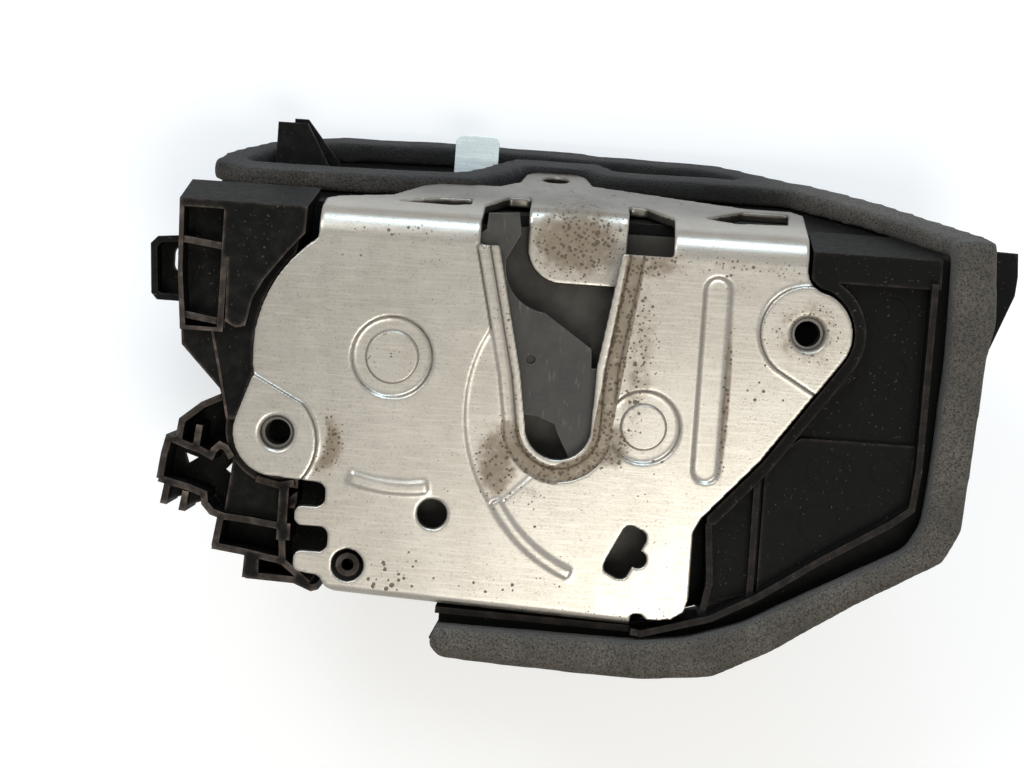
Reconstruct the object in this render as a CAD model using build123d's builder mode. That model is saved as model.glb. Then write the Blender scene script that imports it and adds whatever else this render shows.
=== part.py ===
"""Vehicle door latch with its lock actuator: pressed latch plate, claw and pawl, plastic housings and drive.

Frame, in millimetres: +X runs along the latch plate, +Z runs out of the striker slot's mouth and +Y goes
into the door. The origin is the middle of the striker slot's round end, on the plate's front face.
"""

from build123d import *
import math
import os

# ---------------------------------------------------------------- driving dimensions
# sheet steel
PLATE_T = 2.0  # latch plate sheet
BACK_PLATE_T = 2.0
BEND_R = 6.0  # outer radius of the plate's top bend
BEND_Z = 34.0  # where the flat front ends and the bend begins
FLANGE_TILT = 16.0  # the top flange rises this many degrees towards the back
PRESS_DEPTH = 0.7  # beads and dishes
PAD_HEIGHT = 1.0  # raised bolt pads
PLATE_LEFT = -48.5
PLATE_RIGHT = 45.7
PLATE_BOTTOM_LEFT = -35.0
PLATE_BOTTOM_RIGHT = -37.2
RETURN_DEPTH = 5.0  # folded-back bottom edge

# striker slot
SLOT_R = 6.3
MOUTH_LEFT = -17.3
MOUTH_RIGHT = 19.8
BAND_W = 4.3  # pressed band round the slot
LIP_W = 1.7  # upturned edge of the slot
LIP_HEIGHT = 0.35

# mechanism
CLAW_AXIS = (-32.8, 11.2)
PAWL_AXIS = (16.4, 1.1)
CLAW_TRAVEL = 52.0
PAWL_TRAVEL = 7.0
CLAW_RIM_R = 41.5
CLAW_NOTCH_R = 38.4  # floor of the latching notch
CLAW_HUB_R = 13.0
CLAW_PIN_R = 4.0
PAWL_PIN_R = 3.6
PAWL_HUB_R = 7.4
MECH_GAP = 10.5  # between the plate's back and the back plate
CLAW_T = 6.4
PAWL_T = 5.0
JACKET_SKIN = 1.2  # plastic over the claw's steel
RUN = 0.06  # running clearance on a radius
GAP = 0.3  # air between pieces that pass or seat
PIN_HEAD_T = 1.0

# door bolts, M6
BOLT_LEFT = (-54.0, -4.9)
BOLT_RIGHT = (46.4, 21.2)
BOLT_BORE_R = 2.5
BOLT_CLEAR_R = 3.0  # hole in the plate, in front of the nut
BOLT_SINK = 0.7
NUT_R = 5.6
NUT_LENGTH = 7.0
LOBE_R = 8.5
RIM_R = 27.0  # left rim, about the claw's axis

# housings
WALL = 2.0
RIB = 1.3
HOUSING_FLOOR_T = 2.5
BLOCK_FRONT = 3.0  # depth of the left block's face
RIM_FRONT = 1.0  # depth of the outer rib's edge
BAY_DEPTH = 5.7  # bay of the release lever, behind the floor
CHAMBER_DEPTH = 27.0  # from the bay to the flat seat of the cover
BOX_BOTTOM = -22.0
CHAMBER_TOP = 19.0
CHAMBER_LEFT = -50.5
CHAMBER_RIGHT = 26.0
WELL_FLOOR = 27.0
COVER_T = 2.5
LEAD_WINDOW = (-45.0, 12.0)  # the claw switch's leads pass here from the chamber to the bay
LEAD_WINDOW_SIZE = (8.0, 12.0)

# seal
SEAL_W = 6.5
SEAL_H = 4.3
SEAL_TOP = 1.0  # height above the flange plane
SEAL_FRONT = -1.5
SEAL_BACK = 6.5

# drive train in the chamber
GEAR_MODULE = 0.8
PINION_TEETH = 10
IDLER_TEETH = 34
IDLER_PINION_TEETH = 12
SECTOR_TEETH = 48  # full-circle count of the lock lever's sector
GEAR_T = 4.0
GEAR_BACKLASH = 0.2
PRESSURE_ANGLE = 25.0
MOTOR_AXIS = (-36.0, 5.0)
MOTOR_R = 12.0
MOTOR_LENGTH = 22.0

# ---------------------------------------------------------------- derived places
SIN_TILT = math.sin(math.radians(FLANGE_TILT))
COS_TILT = math.cos(math.radians(FLANGE_TILT))
BEND_END = (BEND_R - BEND_R * SIN_TILT, BEND_Z + BEND_R * COS_TILT)
BACK_PLATE_FRONT = PLATE_T + MECH_GAP
BACK_PLATE_BACK = BACK_PLATE_FRONT + BACK_PLATE_T
FLOOR_FRONT = BACK_PLATE_BACK + GAP
FLOOR_BACK = FLOOR_FRONT + HOUSING_FLOOR_T
BOX_FRONT = FLOOR_BACK + BAY_DEPTH
BOX_BACK = BOX_FRONT + CHAMBER_DEPTH
CLAW_FRONT = PLATE_T + PRESS_DEPTH + GAP
CLAW_BACK = CLAW_FRONT + CLAW_T

TOP = Plane(origin=(0, BEND_END[0], BEND_END[1]), x_dir=(1, 0, 0), z_dir=(0, -SIN_TILT, COS_TILT))


def layer(y):
    """Sketch plane at depth y, seen from the front; extruding it comes towards the front."""
    return Plane.XZ.offset(-y)


def polar(centre, radius, degrees):
    """The point at a radius and an angle from a centre, in the front view."""
    a = math.radians(degrees)
    return (centre[0] + radius * math.cos(a), centre[1] + radius * math.sin(a))


def turned(point, centre, degrees):
    """A front-view point turned anticlockwise about a centre."""
    a = math.radians(degrees)
    dx, dz = point[0] - centre[0], point[1] - centre[1]
    return (
        centre[0] + dx * math.cos(a) - dz * math.sin(a),
        centre[1] + dx * math.sin(a) + dz * math.cos(a),
    )


def save(builder, name):
    """Label a finished piece and write it."""
    builder.part.label = name
    export_step(builder.part, f"parts/{name}.step")


os.makedirs("parts", exist_ok=True)


# ---------------------------------------------------------------- shared outlines
def outline(*points):
    """A closed face through front-view points."""
    with BuildSketch() as face:
        with BuildLine():
            Polyline(*points, close=True)
        make_face()
    return face.sketch


def band(points, width):
    """A strip of even width along a line of points."""
    with BuildSketch() as face:
        with BuildLine():
            Polyline(*points)
        trace(line_width=width)
    return face.sketch


def arc_band(first, middle, last, width):
    """A strip of even width along an arc through three points."""
    with BuildSketch() as face:
        with BuildLine():
            ThreePointArc(first, middle, last)
        trace(line_width=width)
    return face.sketch


def slot_face(grow=0.0):
    """The striker slot, flared towards its mouth, grown by a margin."""
    with BuildSketch() as face:
        with BuildLine():
            left = Polyline((-14.1, BEND_Z + 2), (-13.6, BEND_Z), (-7.9, 10), (-SLOT_R, 0))
            end = ThreePointArc(left @ 1, (0, -SLOT_R), (SLOT_R, 0))
            Polyline(end @ 1, (6.6, 12), (10.0, BEND_Z), (10.3, BEND_Z + 2), left @ 0)
        make_face()
        if grow:
            offset(amount=grow)
            with Locations((0, BEND_Z + 10)):
                Rectangle(80, 20, mode=Mode.SUBTRACT)
    return face.sketch


def plate_front_face():
    """The flat front of the latch plate, up to the bend."""
    with BuildSketch() as face:
        with BuildLine():
            top = Polyline((PLATE_RIGHT, BEND_Z), (PLATE_LEFT, BEND_Z), polar(CLAW_AXIS, RIM_R, 126.0))
            rim = ThreePointArc(top @ 1, polar(CLAW_AXIS, RIM_R, 160.0), polar(CLAW_AXIS, RIM_R, 191.0))
            neck = Line(rim @ 1, polar(BOLT_LEFT, LOBE_R, 165.0))
            lobe = ThreePointArc(neck @ 1, polar(BOLT_LEFT, LOBE_R, 220.0), polar(BOLT_LEFT, LOBE_R, 275.0))
            fingers = FilletPolyline(
                lobe @ 1, (-44.0, -14.2), (-44.0, -18.6), (-49.7, -18.6), (-49.7, -22.6), (-43.0, -22.6),
                (-43.0, -27.3), (-49.4, -27.3), (-49.4, -31.4), (-44.2, -32.0), (-43.0, -34.2),
                (-41.0, PLATE_BOTTOM_LEFT),
                radius=1.6,
            )
            low = Line(fingers @ 1, (16.5, PLATE_BOTTOM_RIGHT))
            foot = FilletPolyline(
                low @ 1, (16.5, -35.0), (18.4, -35.0), (19.6, -36.1), (24.2, -35.7), (26.7, -34.0), (27.5, -31.0),
                (27.4, -18.4), (28.7, -15.7), (39.1, -3.9), polar(BOLT_RIGHT, LOBE_R, -32.0), radius=0.7,
            )
            ear = ThreePointArc(foot @ 1, polar(BOLT_RIGHT, LOBE_R, 10.0), polar(BOLT_RIGHT, LOBE_R, 66.0))
            ThreePointArc(ear @ 1, (46.7, 30.6), (PLATE_RIGHT, BEND_Z))
        make_face()
    return face.sketch


def bent_strip_face(radius, centre, low, back_length):
    """Section of a sheet that rises at the front, bends back by the flange angle and runs on."""
    inner = radius - PLATE_T
    middle = 135.0 + FLANGE_TILT / 2
    end = 90.0 + FLANGE_TILT
    outer_end, inner_end = polar(centre, radius, end), polar(centre, inner, end)
    run = (back_length * COS_TILT, back_length * SIN_TILT)
    with BuildSketch() as face:
        with BuildLine():
            rise = Line((centre[0] - radius, low), (centre[0] - radius, centre[1]))
            bend = ThreePointArc(rise @ 1, polar(centre, radius, middle), outer_end)
            back = Polyline(
                bend @ 1, (outer_end[0] + run[0], outer_end[1] + run[1]),
                (inner_end[0] + run[0], inner_end[1] + run[1]), inner_end,
            )
            under = ThreePointArc(back @ 1, polar(centre, inner, middle), (centre[0] - inner, centre[1]))
            Polyline(under @ 1, (centre[0] - inner, low), rise @ 0)
        make_face()
    return face.sketch


def left_pad_face():
    """The left bolt pad: a straight step above the bolt and a round one beside it."""
    with BuildSketch() as face:
        with BuildLine():
            step = Polyline((-49.0, -13.9), (-70.0, -13.9), (-70.0, 11.5), (-49.4, 1.0))
            ThreePointArc(step @ 1, (-46.3, -5.6), step @ 0)
        make_face()
    return face.sketch


def right_pad_face():
    """The right bolt pad: round above its bolt, with a straight step below it."""
    with BuildSketch() as face:
        with BuildLine():
            step = Polyline((41.3, 13.8), (49.0, 9.4), (60.0, 9.4), (60.0, 30.3), (46.5, 30.3))
            ThreePointArc(step @ 1, (37.3, 21.2), step @ 0)
        make_face()
    return face.sketch


# ---------------------------------------------------------------- latch plate
FIELD_DEPTH = 0.3  # shallow field beside the slot
BEAD_HEIGHT = 0.4  # the two raised arcs
TAB_LEFT = -8.6
TAB_RIGHT = 11.0
TAB_BEND_R = 4.0
TAB_LOW = 27.3
TAB_CORNER_R = 7.0
TAB_FRONT = CLAW_BACK + 0.4
# the guard tab's bend starts on the flange so that its front lands at TAB_FRONT
TAB_BEND_V = (TAB_FRONT + TAB_BEND_R * (1 - SIN_TILT) - BEND_END[0]) / COS_TILT
FLANGE_LENGTH = 40.0
MOUTH_DEPTH = 14.5
BEAD_W = 5.4
SPACER = (-38.8, -29.6)  # tube seen through the lower left hole

with BuildPart() as latch_plate:
    with BuildSketch(layer(PLATE_T)):
        add(plate_front_face())
    extrude(amount=PLATE_T)

    # top flange, cut to its plan: x along the plate, y back along the flange
    with BuildSketch(Plane.YZ.offset(PLATE_LEFT)):
        add(bent_strip_face(BEND_R, (BEND_R, BEND_Z), BEND_Z - 1, FLANGE_LENGTH))
    extrude(amount=PLATE_RIGHT - PLATE_LEFT)
    with BuildSketch(TOP.offset(3)):
        with Locations(((PLATE_LEFT + PLATE_RIGHT) / 2, 25.5)):
            Rectangle(120, 50)
        with BuildLine():
            Polyline(
                (PLATE_LEFT, -8), (PLATE_LEFT, 5), (-46, 7.5), (-36, 11), (-30.5, 20), (-27, 22.5),
                (-15.5, 23.5), (-11.5, 28), (-10.5, 35), (-8, 37.5), (0, 37.5), (2, 35), (3.5, 28.5),
                (25, 21.5), (35, 18.5), (43.5, 18.5), (PLATE_RIGHT, 16), (PLATE_RIGHT, -8), close=True,
            )
        make_face(mode=Mode.SUBTRACT)
    extrude(amount=-8, mode=Mode.SUBTRACT)

    # the striker's mouth through the bend and the flange, beside the guard tab
    with BuildSketch(TOP.offset(3)):
        add(outline(
            (MOUTH_LEFT, -9), (MOUTH_LEFT, 7.5), (-13, MOUTH_DEPTH), (TAB_LEFT, MOUTH_DEPTH),
            (TAB_LEFT, TAB_BEND_V), (TAB_RIGHT, TAB_BEND_V), (TAB_RIGHT, MOUTH_DEPTH - 1),
            (14.5, MOUTH_DEPTH - 1.5), (MOUTH_RIGHT, 7), (MOUTH_RIGHT, -9),
        ))
    extrude(amount=-7.3, mode=Mode.SUBTRACT)
    with BuildSketch(layer(BEND_R)):
        add(outline((MOUTH_LEFT, BEND_Z), (MOUTH_RIGHT, BEND_Z), (MOUTH_RIGHT, 39), (MOUTH_LEFT, 39)))
    extrude(amount=BEND_R + 2, mode=Mode.SUBTRACT)

    # guard tab, hanging behind the claw
    tab_centre = (TAB_FRONT + TAB_BEND_R, BEND_END[1] + TAB_BEND_V * SIN_TILT - TAB_BEND_R * COS_TILT)
    with BuildSketch(Plane.YZ.offset(TAB_LEFT)):
        add(bent_strip_face(TAB_BEND_R, tab_centre, TAB_LOW, 1.0))
    extrude(amount=TAB_RIGHT - TAB_LEFT)
    fillet(latch_plate.edges().filter_by(Axis.Y).sort_by(
        lambda e: abs(e.center().X - TAB_LEFT) + abs(e.center().Z - TAB_LOW))[0], radius=TAB_CORNER_R)

    # folded-back bottom edge
    with BuildSketch(layer(RETURN_DEPTH)):
        add(outline(
            (-41.0, PLATE_BOTTOM_LEFT), (16.5, PLATE_BOTTOM_RIGHT), (16.5, PLATE_BOTTOM_RIGHT + PLATE_T),
            (-41.0, PLATE_BOTTOM_LEFT + PLATE_T),
        ))
    extrude(amount=RETURN_DEPTH)
    fillet(latch_plate.edges().filter_by_position(Axis.Y, -0.01, 0.01).filter_by(
        lambda e: e.length > 50 and e.center().Z < PLATE_BOTTOM_LEFT), radius=1.7)

    # pressed band round the slot, with its upturned lip
    with BuildSketch(layer(PLATE_T + PRESS_DEPTH)):
        add(slot_face(BAND_W))
    extrude(amount=PRESS_DEPTH)
    with BuildSketch(layer(PRESS_DEPTH)):
        add(slot_face(BAND_W))
    extrude(amount=PRESS_DEPTH, mode=Mode.SUBTRACT)
    with BuildSketch(layer(PRESS_DEPTH)):
        add(slot_face(LIP_W))
    extrude(amount=PRESS_DEPTH + LIP_HEIGHT)
    with BuildSketch(layer(CLAW_FRONT)):
        add(slot_face())
    extrude(amount=CLAW_FRONT + 2, mode=Mode.SUBTRACT)

    # raised bolt pads, hollow behind
    for bolt, pad in ((BOLT_LEFT, left_pad_face()), (BOLT_RIGHT, right_pad_face())):
        with BuildSketch(Plane.XZ):
            add(plate_front_face())
            add(pad, mode=Mode.INTERSECT)
        extrude(amount=PAD_HEIGHT)
        with BuildSketch(layer(PLATE_T)):
            with Locations(bolt):
                Circle(NUT_R + GAP)
        extrude(amount=PAD_HEIGHT, mode=Mode.SUBTRACT)
        with Locations(Plane.XZ.offset(PAD_HEIGHT)):
            with Locations(bolt):
                CounterSinkHole(BOLT_CLEAR_R, BOLT_CLEAR_R + BOLT_SINK, depth=PAD_HEIGHT + PLATE_T)

    # dished seats of the two pins
    for axis, dish_r, pin_r in ((CLAW_AXIS, 8.0, CLAW_PIN_R), (PAWL_AXIS, 7.2, PAWL_PIN_R)):
        with BuildSketch(layer(PLATE_T)):
            with Locations(axis):
                Circle(dish_r)
        extrude(amount=-PRESS_DEPTH * 0.7, taper=30)
        with BuildSketch(Plane.XZ):
            with Locations(axis):
                Circle(dish_r)
        extrude(amount=-PRESS_DEPTH, taper=30, mode=Mode.SUBTRACT)
        with BuildSketch(Plane.XZ):
            with Locations(axis):
                Circle(pin_r + RUN)
        extrude(amount=-2 * PLATE_T, mode=Mode.SUBTRACT)

    # stiffening beads
    with BuildSketch(Plane.XZ):
        with Locations((28.8, 11.0)):
            SlotOverall(40.0, BEAD_W, rotation=90)
    extrude(amount=-PRESS_DEPTH, taper=30, mode=Mode.SUBTRACT)
    with BuildSketch(Plane.XZ):
        add(arc_band((-11.2, -15.1), (-4.8, -22.9), (4.2, -28.3), 2.0))
        add(arc_band((-39.4, -12.5), (-32.0, -13.9), (-24.3, -13.4), 2.3))
    extrude(amount=BEAD_HEIGHT, taper=20)

    # shallow field between the slot's band and a curved step
    with BuildSketch(Plane.XZ):
        with BuildLine():
            step = Spline((-14.2, 18.2), (-18.2, 4.2), (-16.1, -8.8), (-11.6, -16.7))
            Polyline(
                step @ 1, (-9.8, -15.4), (-3.2, -8.9), (-7.6, -5.3), (-9.3, 0.0), (-11.0, 12.0), step @ 0)
        make_face()
    extrude(amount=-FIELD_DEPTH, mode=Mode.SUBTRACT)

    # service holes: one flared, one round, one keyed
    with Locations(Plane.XZ):
        with Locations((-23.1, -18.5)):
            CounterSinkHole(2.8, 3.15, depth=PLATE_T)
    with BuildSketch(Plane.XZ):
        with Locations(SPACER):
            Circle(3.1)
        with Locations((14.6, -23.2)):
            RectangleRounded(10.4, 4.9, 1.5, rotation=64.4)
        with Locations((17.1, -24.4)):
            Circle(1.7)
    extrude(amount=-2 * PLATE_T, mode=Mode.SUBTRACT)

    # windows and locating hole in the flange
    with BuildSketch(TOP.offset(1)):
        add(outline((-34.9, 6.5), (-26.5, 10.5), (-20.2, 11.2), (-20.2, 7.5), (-24, 6.0)))
        add(outline((26.0, 9.0), (33.5, 15.5), (42.5, 15.5), (42.0, 8.0), (32.0, 6.5)))
        with Locations((-4.2, 31.5)):
            Circle(2.6)
    extrude(amount=-4, mode=Mode.SUBTRACT)
save(latch_plate, "latch_plate")


# ---------------------------------------------------------------- back plate, pins and nuts
RIVET_T = 1.2
PIN_HEAD_R = 5.2
PAWL_HEAD_R = 4.5
BACK_SCREWS = ((-48.0, 22.0), (30.0, 26.0), (-34.0, -27.0))
SCREW_R = 1.6

with BuildPart() as back_plate:
    with BuildSketch(layer(BACK_PLATE_BACK)) as back_outline:
        with BuildLine():
            FilletPolyline(
                (-45.5, 1), (-57, 5), (-57, 22), (-43, 35), (-20, 38), (24, 38), (42, 29), (40, 8), (33.5, -8),
                (26, -18), (23, -31), (-40, -31), (-43, -14), close=True, radius=3,
            )
        make_face()
        for axis, pin_r in ((CLAW_AXIS, CLAW_PIN_R), (PAWL_AXIS, PAWL_PIN_R)):
            with Locations(axis):
                Circle(pin_r + RUN, mode=Mode.SUBTRACT)
        with Locations(*BACK_SCREWS):
            Circle(SCREW_R + RUN, mode=Mode.SUBTRACT)
        # window for the release lever's finger
        add(outline((25.0, -12), (31.5, -12), (31.5, -1.5), (25.0, -1.5)), mode=Mode.SUBTRACT)
    extrude(amount=BACK_PLATE_T)
save(back_plate, "back_plate")


def make_pin(axis, shaft_r, head_r):
    """A rivet from the plate's dish to the back plate, headed at both ends."""
    with BuildPart() as pin:
        with BuildSketch(layer(BACK_PLATE_BACK + RIVET_T)):
            with Locations(axis):
                Circle(shaft_r + 1.0)
        extrude(amount=RIVET_T)
        with BuildSketch(layer(BACK_PLATE_BACK)):
            with Locations(axis):
                Circle(shaft_r)
        extrude(amount=BACK_PLATE_BACK - PRESS_DEPTH)
        with BuildSketch(layer(PRESS_DEPTH)):
            with Locations(axis):
                Circle(head_r)
        extrude(amount=PIN_HEAD_T)
        chamfer(pin.edges().filter_by(GeomType.CIRCLE).sort_by(Axis.Y)[0], length=0.4)
    return pin


claw_pin = make_pin(CLAW_AXIS, CLAW_PIN_R, PIN_HEAD_R)
save(claw_pin, "claw_pin")
pawl_pin = make_pin(PAWL_AXIS, PAWL_PIN_R, PAWL_HEAD_R)
save(pawl_pin, "pawl_pin")

with BuildPart() as spacer_tube:
    with BuildSketch(layer(BACK_PLATE_FRONT)):
        with Locations(SPACER):
            Circle(2.3)
            Circle(1.2, mode=Mode.SUBTRACT)
    extrude(amount=BACK_PLATE_FRONT - 0.8)
save(spacer_tube, "spacer_tube")

with BuildPart() as weld_nuts:
    with BuildSketch(layer(PLATE_T - PAD_HEIGHT + NUT_LENGTH)):
        with Locations(BOLT_LEFT, BOLT_RIGHT):
            Circle(NUT_R)
            Circle(BOLT_BORE_R, mode=Mode.SUBTRACT)
    extrude(amount=NUT_LENGTH)
    chamfer(weld_nuts.edges().filter_by(GeomType.CIRCLE).group_by(Axis.Y)[-1], length=0.5)
save(weld_nuts, "weld_nuts")


# ---------------------------------------------------------------- claw and pawl
TOOTH_ANGLE = 0.5  # the latching face, seen from the claw's axis, with the claw open
TAIL_ANGLE = -28.7
CORE_FRONT = CLAW_FRONT + 0.9


def claw_face():
    """The claw in its open position: a hook, a striker mouth and a latching arm."""
    a = CLAW_AXIS
    with BuildSketch() as face:
        with BuildLine():
            hook = Polyline(
                polar(a, CLAW_HUB_R, 118), (-20.0, 34.6), (-16.4, 37.0), (-16.2, 40.2), (-10.4, 40.6),
                (-9.7, 36.5), (-12.2, 31.5),
            )
            seat = ThreePointArc(hook @ 1, (-10.6, 25.2), (-4.1, 21.6))
            lip = Line(seat @ 1, polar(a, CLAW_NOTCH_R, 6.1))
            notch = ThreePointArc(lip @ 1, polar(a, CLAW_NOTCH_R, 3), polar(a, CLAW_NOTCH_R, TOOTH_ANGLE))
            tooth = Line(notch @ 1, polar(a, CLAW_RIM_R, TOOTH_ANGLE))
            rim = ThreePointArc(
                tooth @ 1, polar(a, CLAW_RIM_R, TAIL_ANGLE / 2), polar(a, CLAW_RIM_R, TAIL_ANGLE))
            heel = Polyline(
                rim @ 1, (2.1, -5.4), (-0.1, -1.4), (-0.8, 0.3), (-4.2, 1.6), (-12.0, 2.0),
                polar(a, CLAW_HUB_R, -62),
            )
            ThreePointArc(heel @ 1, polar(a, CLAW_HUB_R, 208), hook @ 0)
        make_face()
    return face.sketch


def claw_core_face():
    """The claw's steel: inside the plastic everywhere but at the latching tooth."""
    a = CLAW_AXIS
    with BuildSketch() as face:
        add(claw_face())
        offset(amount=-JACKET_SKIN)
        with BuildLine():
            back = ThreePointArc(
                polar(a, 36, -4), polar(a, 36, (TOOTH_ANGLE - 4) / 2), polar(a, 36, TOOTH_ANGLE))
            out = Line(back @ 1, polar(a, CLAW_RIM_R, TOOTH_ANGLE))
            rim = ThreePointArc(
                out @ 1, polar(a, CLAW_RIM_R, (TOOTH_ANGLE - 4) / 2), polar(a, CLAW_RIM_R, -4))
            Line(rim @ 1, back @ 0)
        make_face()
    return face.sketch


with BuildPart() as claw_core:
    with BuildSketch(layer(CLAW_BACK)):
        add(claw_core_face())
        with Locations(CLAW_AXIS):
            Circle(CLAW_PIN_R + RUN, mode=Mode.SUBTRACT)
    extrude(amount=CLAW_BACK - CORE_FRONT)
save(claw_core, "claw_core")

with BuildPart() as claw_jacket:
    with BuildSketch(layer(CLAW_BACK)):
        add(claw_face())
    extrude(amount=CLAW_T)
    with BuildSketch(layer(CLAW_BACK)):
        add(claw_core_face())
    extrude(amount=CLAW_BACK - CORE_FRONT, mode=Mode.SUBTRACT)
    with BuildSketch(layer(CLAW_BACK)):
        with Locations(CLAW_AXIS):
            Circle(CLAW_PIN_R + 1.5)
        with Locations((-6.2, 12.5)):
            Circle(0.9)
    extrude(amount=CLAW_T, mode=Mode.SUBTRACT)
save(claw_jacket, "claw_jacket")

PAWL_FRONT = CLAW_FRONT + 0.3
PAWL_BACK = PAWL_FRONT + PAWL_T
PAWL_CLEAR_R = CLAW_RIM_R + 2.6  # the pawl's inside stays clear of the claw's rim when it drops
PAWL_TAIL = (30.0, -1.6)


def pawl_face():
    """The pawl in its lifted position; its nose drops behind the tooth when it turns back."""
    a, b = CLAW_AXIS, PAWL_AXIS
    face_angle = TOOTH_ANGLE - CLAW_TRAVEL
    nose_w = 3.4

    def nose(radius, across):
        """A nose point: radius from the claw's axis and distance past the tooth's face."""
        on_face = polar(a, radius, face_angle)
        aside = polar((0, 0), across, face_angle + 90)
        return turned((on_face[0] + aside[0], on_face[1] + aside[1]), b, PAWL_TRAVEL)

    with BuildSketch() as face:
        with BuildLine():
            tip = Polyline(nose(45.5, GAP), nose(CLAW_NOTCH_R + 0.4, GAP), nose(CLAW_NOTCH_R + 0.4, nose_w),
                           polar(a, PAWL_CLEAR_R, -43))
            inner = ThreePointArc(tip @ 1, polar(a, PAWL_CLEAR_R, -32), polar(a, PAWL_CLEAR_R, -21))
            up = Line(inner @ 1, polar(b, PAWL_HUB_R, 188))
            hub = ThreePointArc(up @ 1, polar(b, PAWL_HUB_R, 110), polar(b, PAWL_HUB_R, 32))
            tail = Polyline(hub @ 1, (PAWL_TAIL[0], PAWL_TAIL[1] + 4), PAWL_TAIL, polar(b, PAWL_HUB_R, -30))
            low = ThreePointArc(tail @ 1, polar(b, PAWL_HUB_R, -48), polar(b, PAWL_HUB_R, -66))
            Polyline(low @ 1, (10.0, -17.5), (3.0, -24.5), tip @ 0)
        make_face()
    return face.sketch


with BuildPart() as pawl:
    with BuildSketch(layer(PAWL_BACK)):
        add(pawl_face())
        with Locations(PAWL_AXIS):
            Circle(PAWL_PIN_R + RUN, mode=Mode.SUBTRACT)
    extrude(amount=PAWL_T)
save(pawl, "pawl")


def make_spring(axis, coil_r, wire_r, first_y, turns, leg):
    """A torsion spring round a pin, with a straight leg at each end."""
    pitch = 2 * wire_r + 0.15
    with BuildPart() as spring:
        with BuildLine():
            coil = Helix(pitch, pitch * turns, coil_r, center=(axis[0], first_y, axis[1]), direction=(0, 1, 0))
        with BuildSketch(Plane(origin=coil @ 0, z_dir=coil % 0)):
            Rectangle(2 * wire_r, 2 * wire_r)
        sweep(is_frenet=True)
        for end, inward in ((0, 1), (1, -1)):
            out = ((coil @ end) - Vector(axis[0], (coil @ end).Y, axis[1])).normalized()
            start = (coil @ end) - out * wire_r + (coil % end) * (inward * wire_r * 0.6)
            with BuildSketch(Plane(origin=start, z_dir=out)):
                Rectangle(1.9 * wire_r, 1.9 * wire_r)
            extrude(amount=leg)
    return spring


claw_spring = make_spring(CLAW_AXIS, 8.0, 0.5, BACK_PLATE_FRONT - 2.4, 1.25, 5.0)
save(claw_spring, "claw_spring")
pawl_spring = make_spring(PAWL_AXIS, 5.0, 0.45, BACK_PLATE_FRONT - 3.4, 2.6, 4.0)
save(pawl_spring, "pawl_spring")


# ---------------------------------------------------------------- release lever, behind the floor
RELEASE_AXIS = (-4.0, -14.0)
RELEASE_PIN_R = 2.5
RELEASE_FRONT = FLOOR_BACK + GAP
RELEASE_T = 2.0
FINGER_R = 1.5
FINGER = (PAWL_TAIL[0] - 2.0, PAWL_TAIL[1] - 0.3 - FINGER_R - GAP)  # holds the pawl's tail up
CABLE_EYE = (-61.0, -13.0)
NUDGE = (-22.0, 21.1)  # top of the arm that the inner lever pushes down

# ---------------------------------------------------------------- latch housing
STRIP_FRONT = BLOCK_FRONT + 1.5  # low faces and ribs beside the block's panel
POCKET_BACK = 9.0
EAR_BACK = FLOOR_BACK + 3.0
EAR_DEPTH = 7.0
PANEL_FRONT = 6.0
PANEL_BACK = 8.0
RAISED_FRONT = 4.5
FLANGE_Y = (6.8, 9.3)
OUTER_RIM = (
    (70.1, 32.4), (69.7, -3.7), (68.9, -11.2), (65.1, -14.2), (52.3, -22.2), (40.5, -30.3), (31.9, -35.0),
    (18.7, -38.9), (16.7, -38.6),
)
SEAL_OUTER = (
    (81.0, 41.5), (82.0, 26.0), (80.8, 19.4), (79.3, -3.0), (78.5, -14.6), (75.3, -21.0), (58.4, -30.7),
    (44.0, -40.4), (32.7, -46.2), (19.4, -47.6), (-3.8, -47.0), (-19.9, -46.2), (-22.5, -43.6),
)
SEAL_INNER = (
    (73.1, 41.0), (73.3, 19.0), (72.0, -3.5), (71.1, -14.1), (68.6, -18.8), (38.0, -35.6), (27.5, -39.2),
    (15.7, -40.4), (-20.8, -40.0),
)


# plan of the top seal, x along the plate and y back along the flange plane
SEAL_LOOP = (
    (-71.0, 26.5), (-69.3, 33.0), (-63.0, 43.0), (-52.0, 49.8), (-25.0, 52.3), (0.0, 50.0), (28.0, 48.0),
    (46.0, 36.0), (20.0, 36.5), (7.0, 36.5), (3.0, 41.5), (-12.5, 41.0), (-16.5, 34.0), (-22.0, 27.0),
    (-40.0, 24.5), (-66.0, 23.5),
)
SEAL_STRAND = ((44.0, 36.5), (46.0, 36.0), (60.0, 24.0), (79.0, 2.0))
SEAL_STRAND_W = 8.0


def rim_face(inner, outer):
    """A ring round the latch plate's outline between two distances from it."""
    with BuildSketch() as face:
        add(plate_front_face())
        offset(amount=outer)
        with BuildSketch(mode=Mode.PRIVATE) as inside:
            add(plate_front_face())
            offset(amount=inner)
        add(inside.sketch, mode=Mode.SUBTRACT)
    return face.sketch


def above_top(height, left, right):
    """Everything above a height over the flange plane, between two places along the plate."""
    with BuildPart(mode=Mode.PRIVATE) as above:
        with BuildSketch(TOP.offset(height)):
            with Locations(((left + right) / 2, 40)):
                Rectangle(right - left, 200)
        extrude(amount=60)
    return above.part


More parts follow.
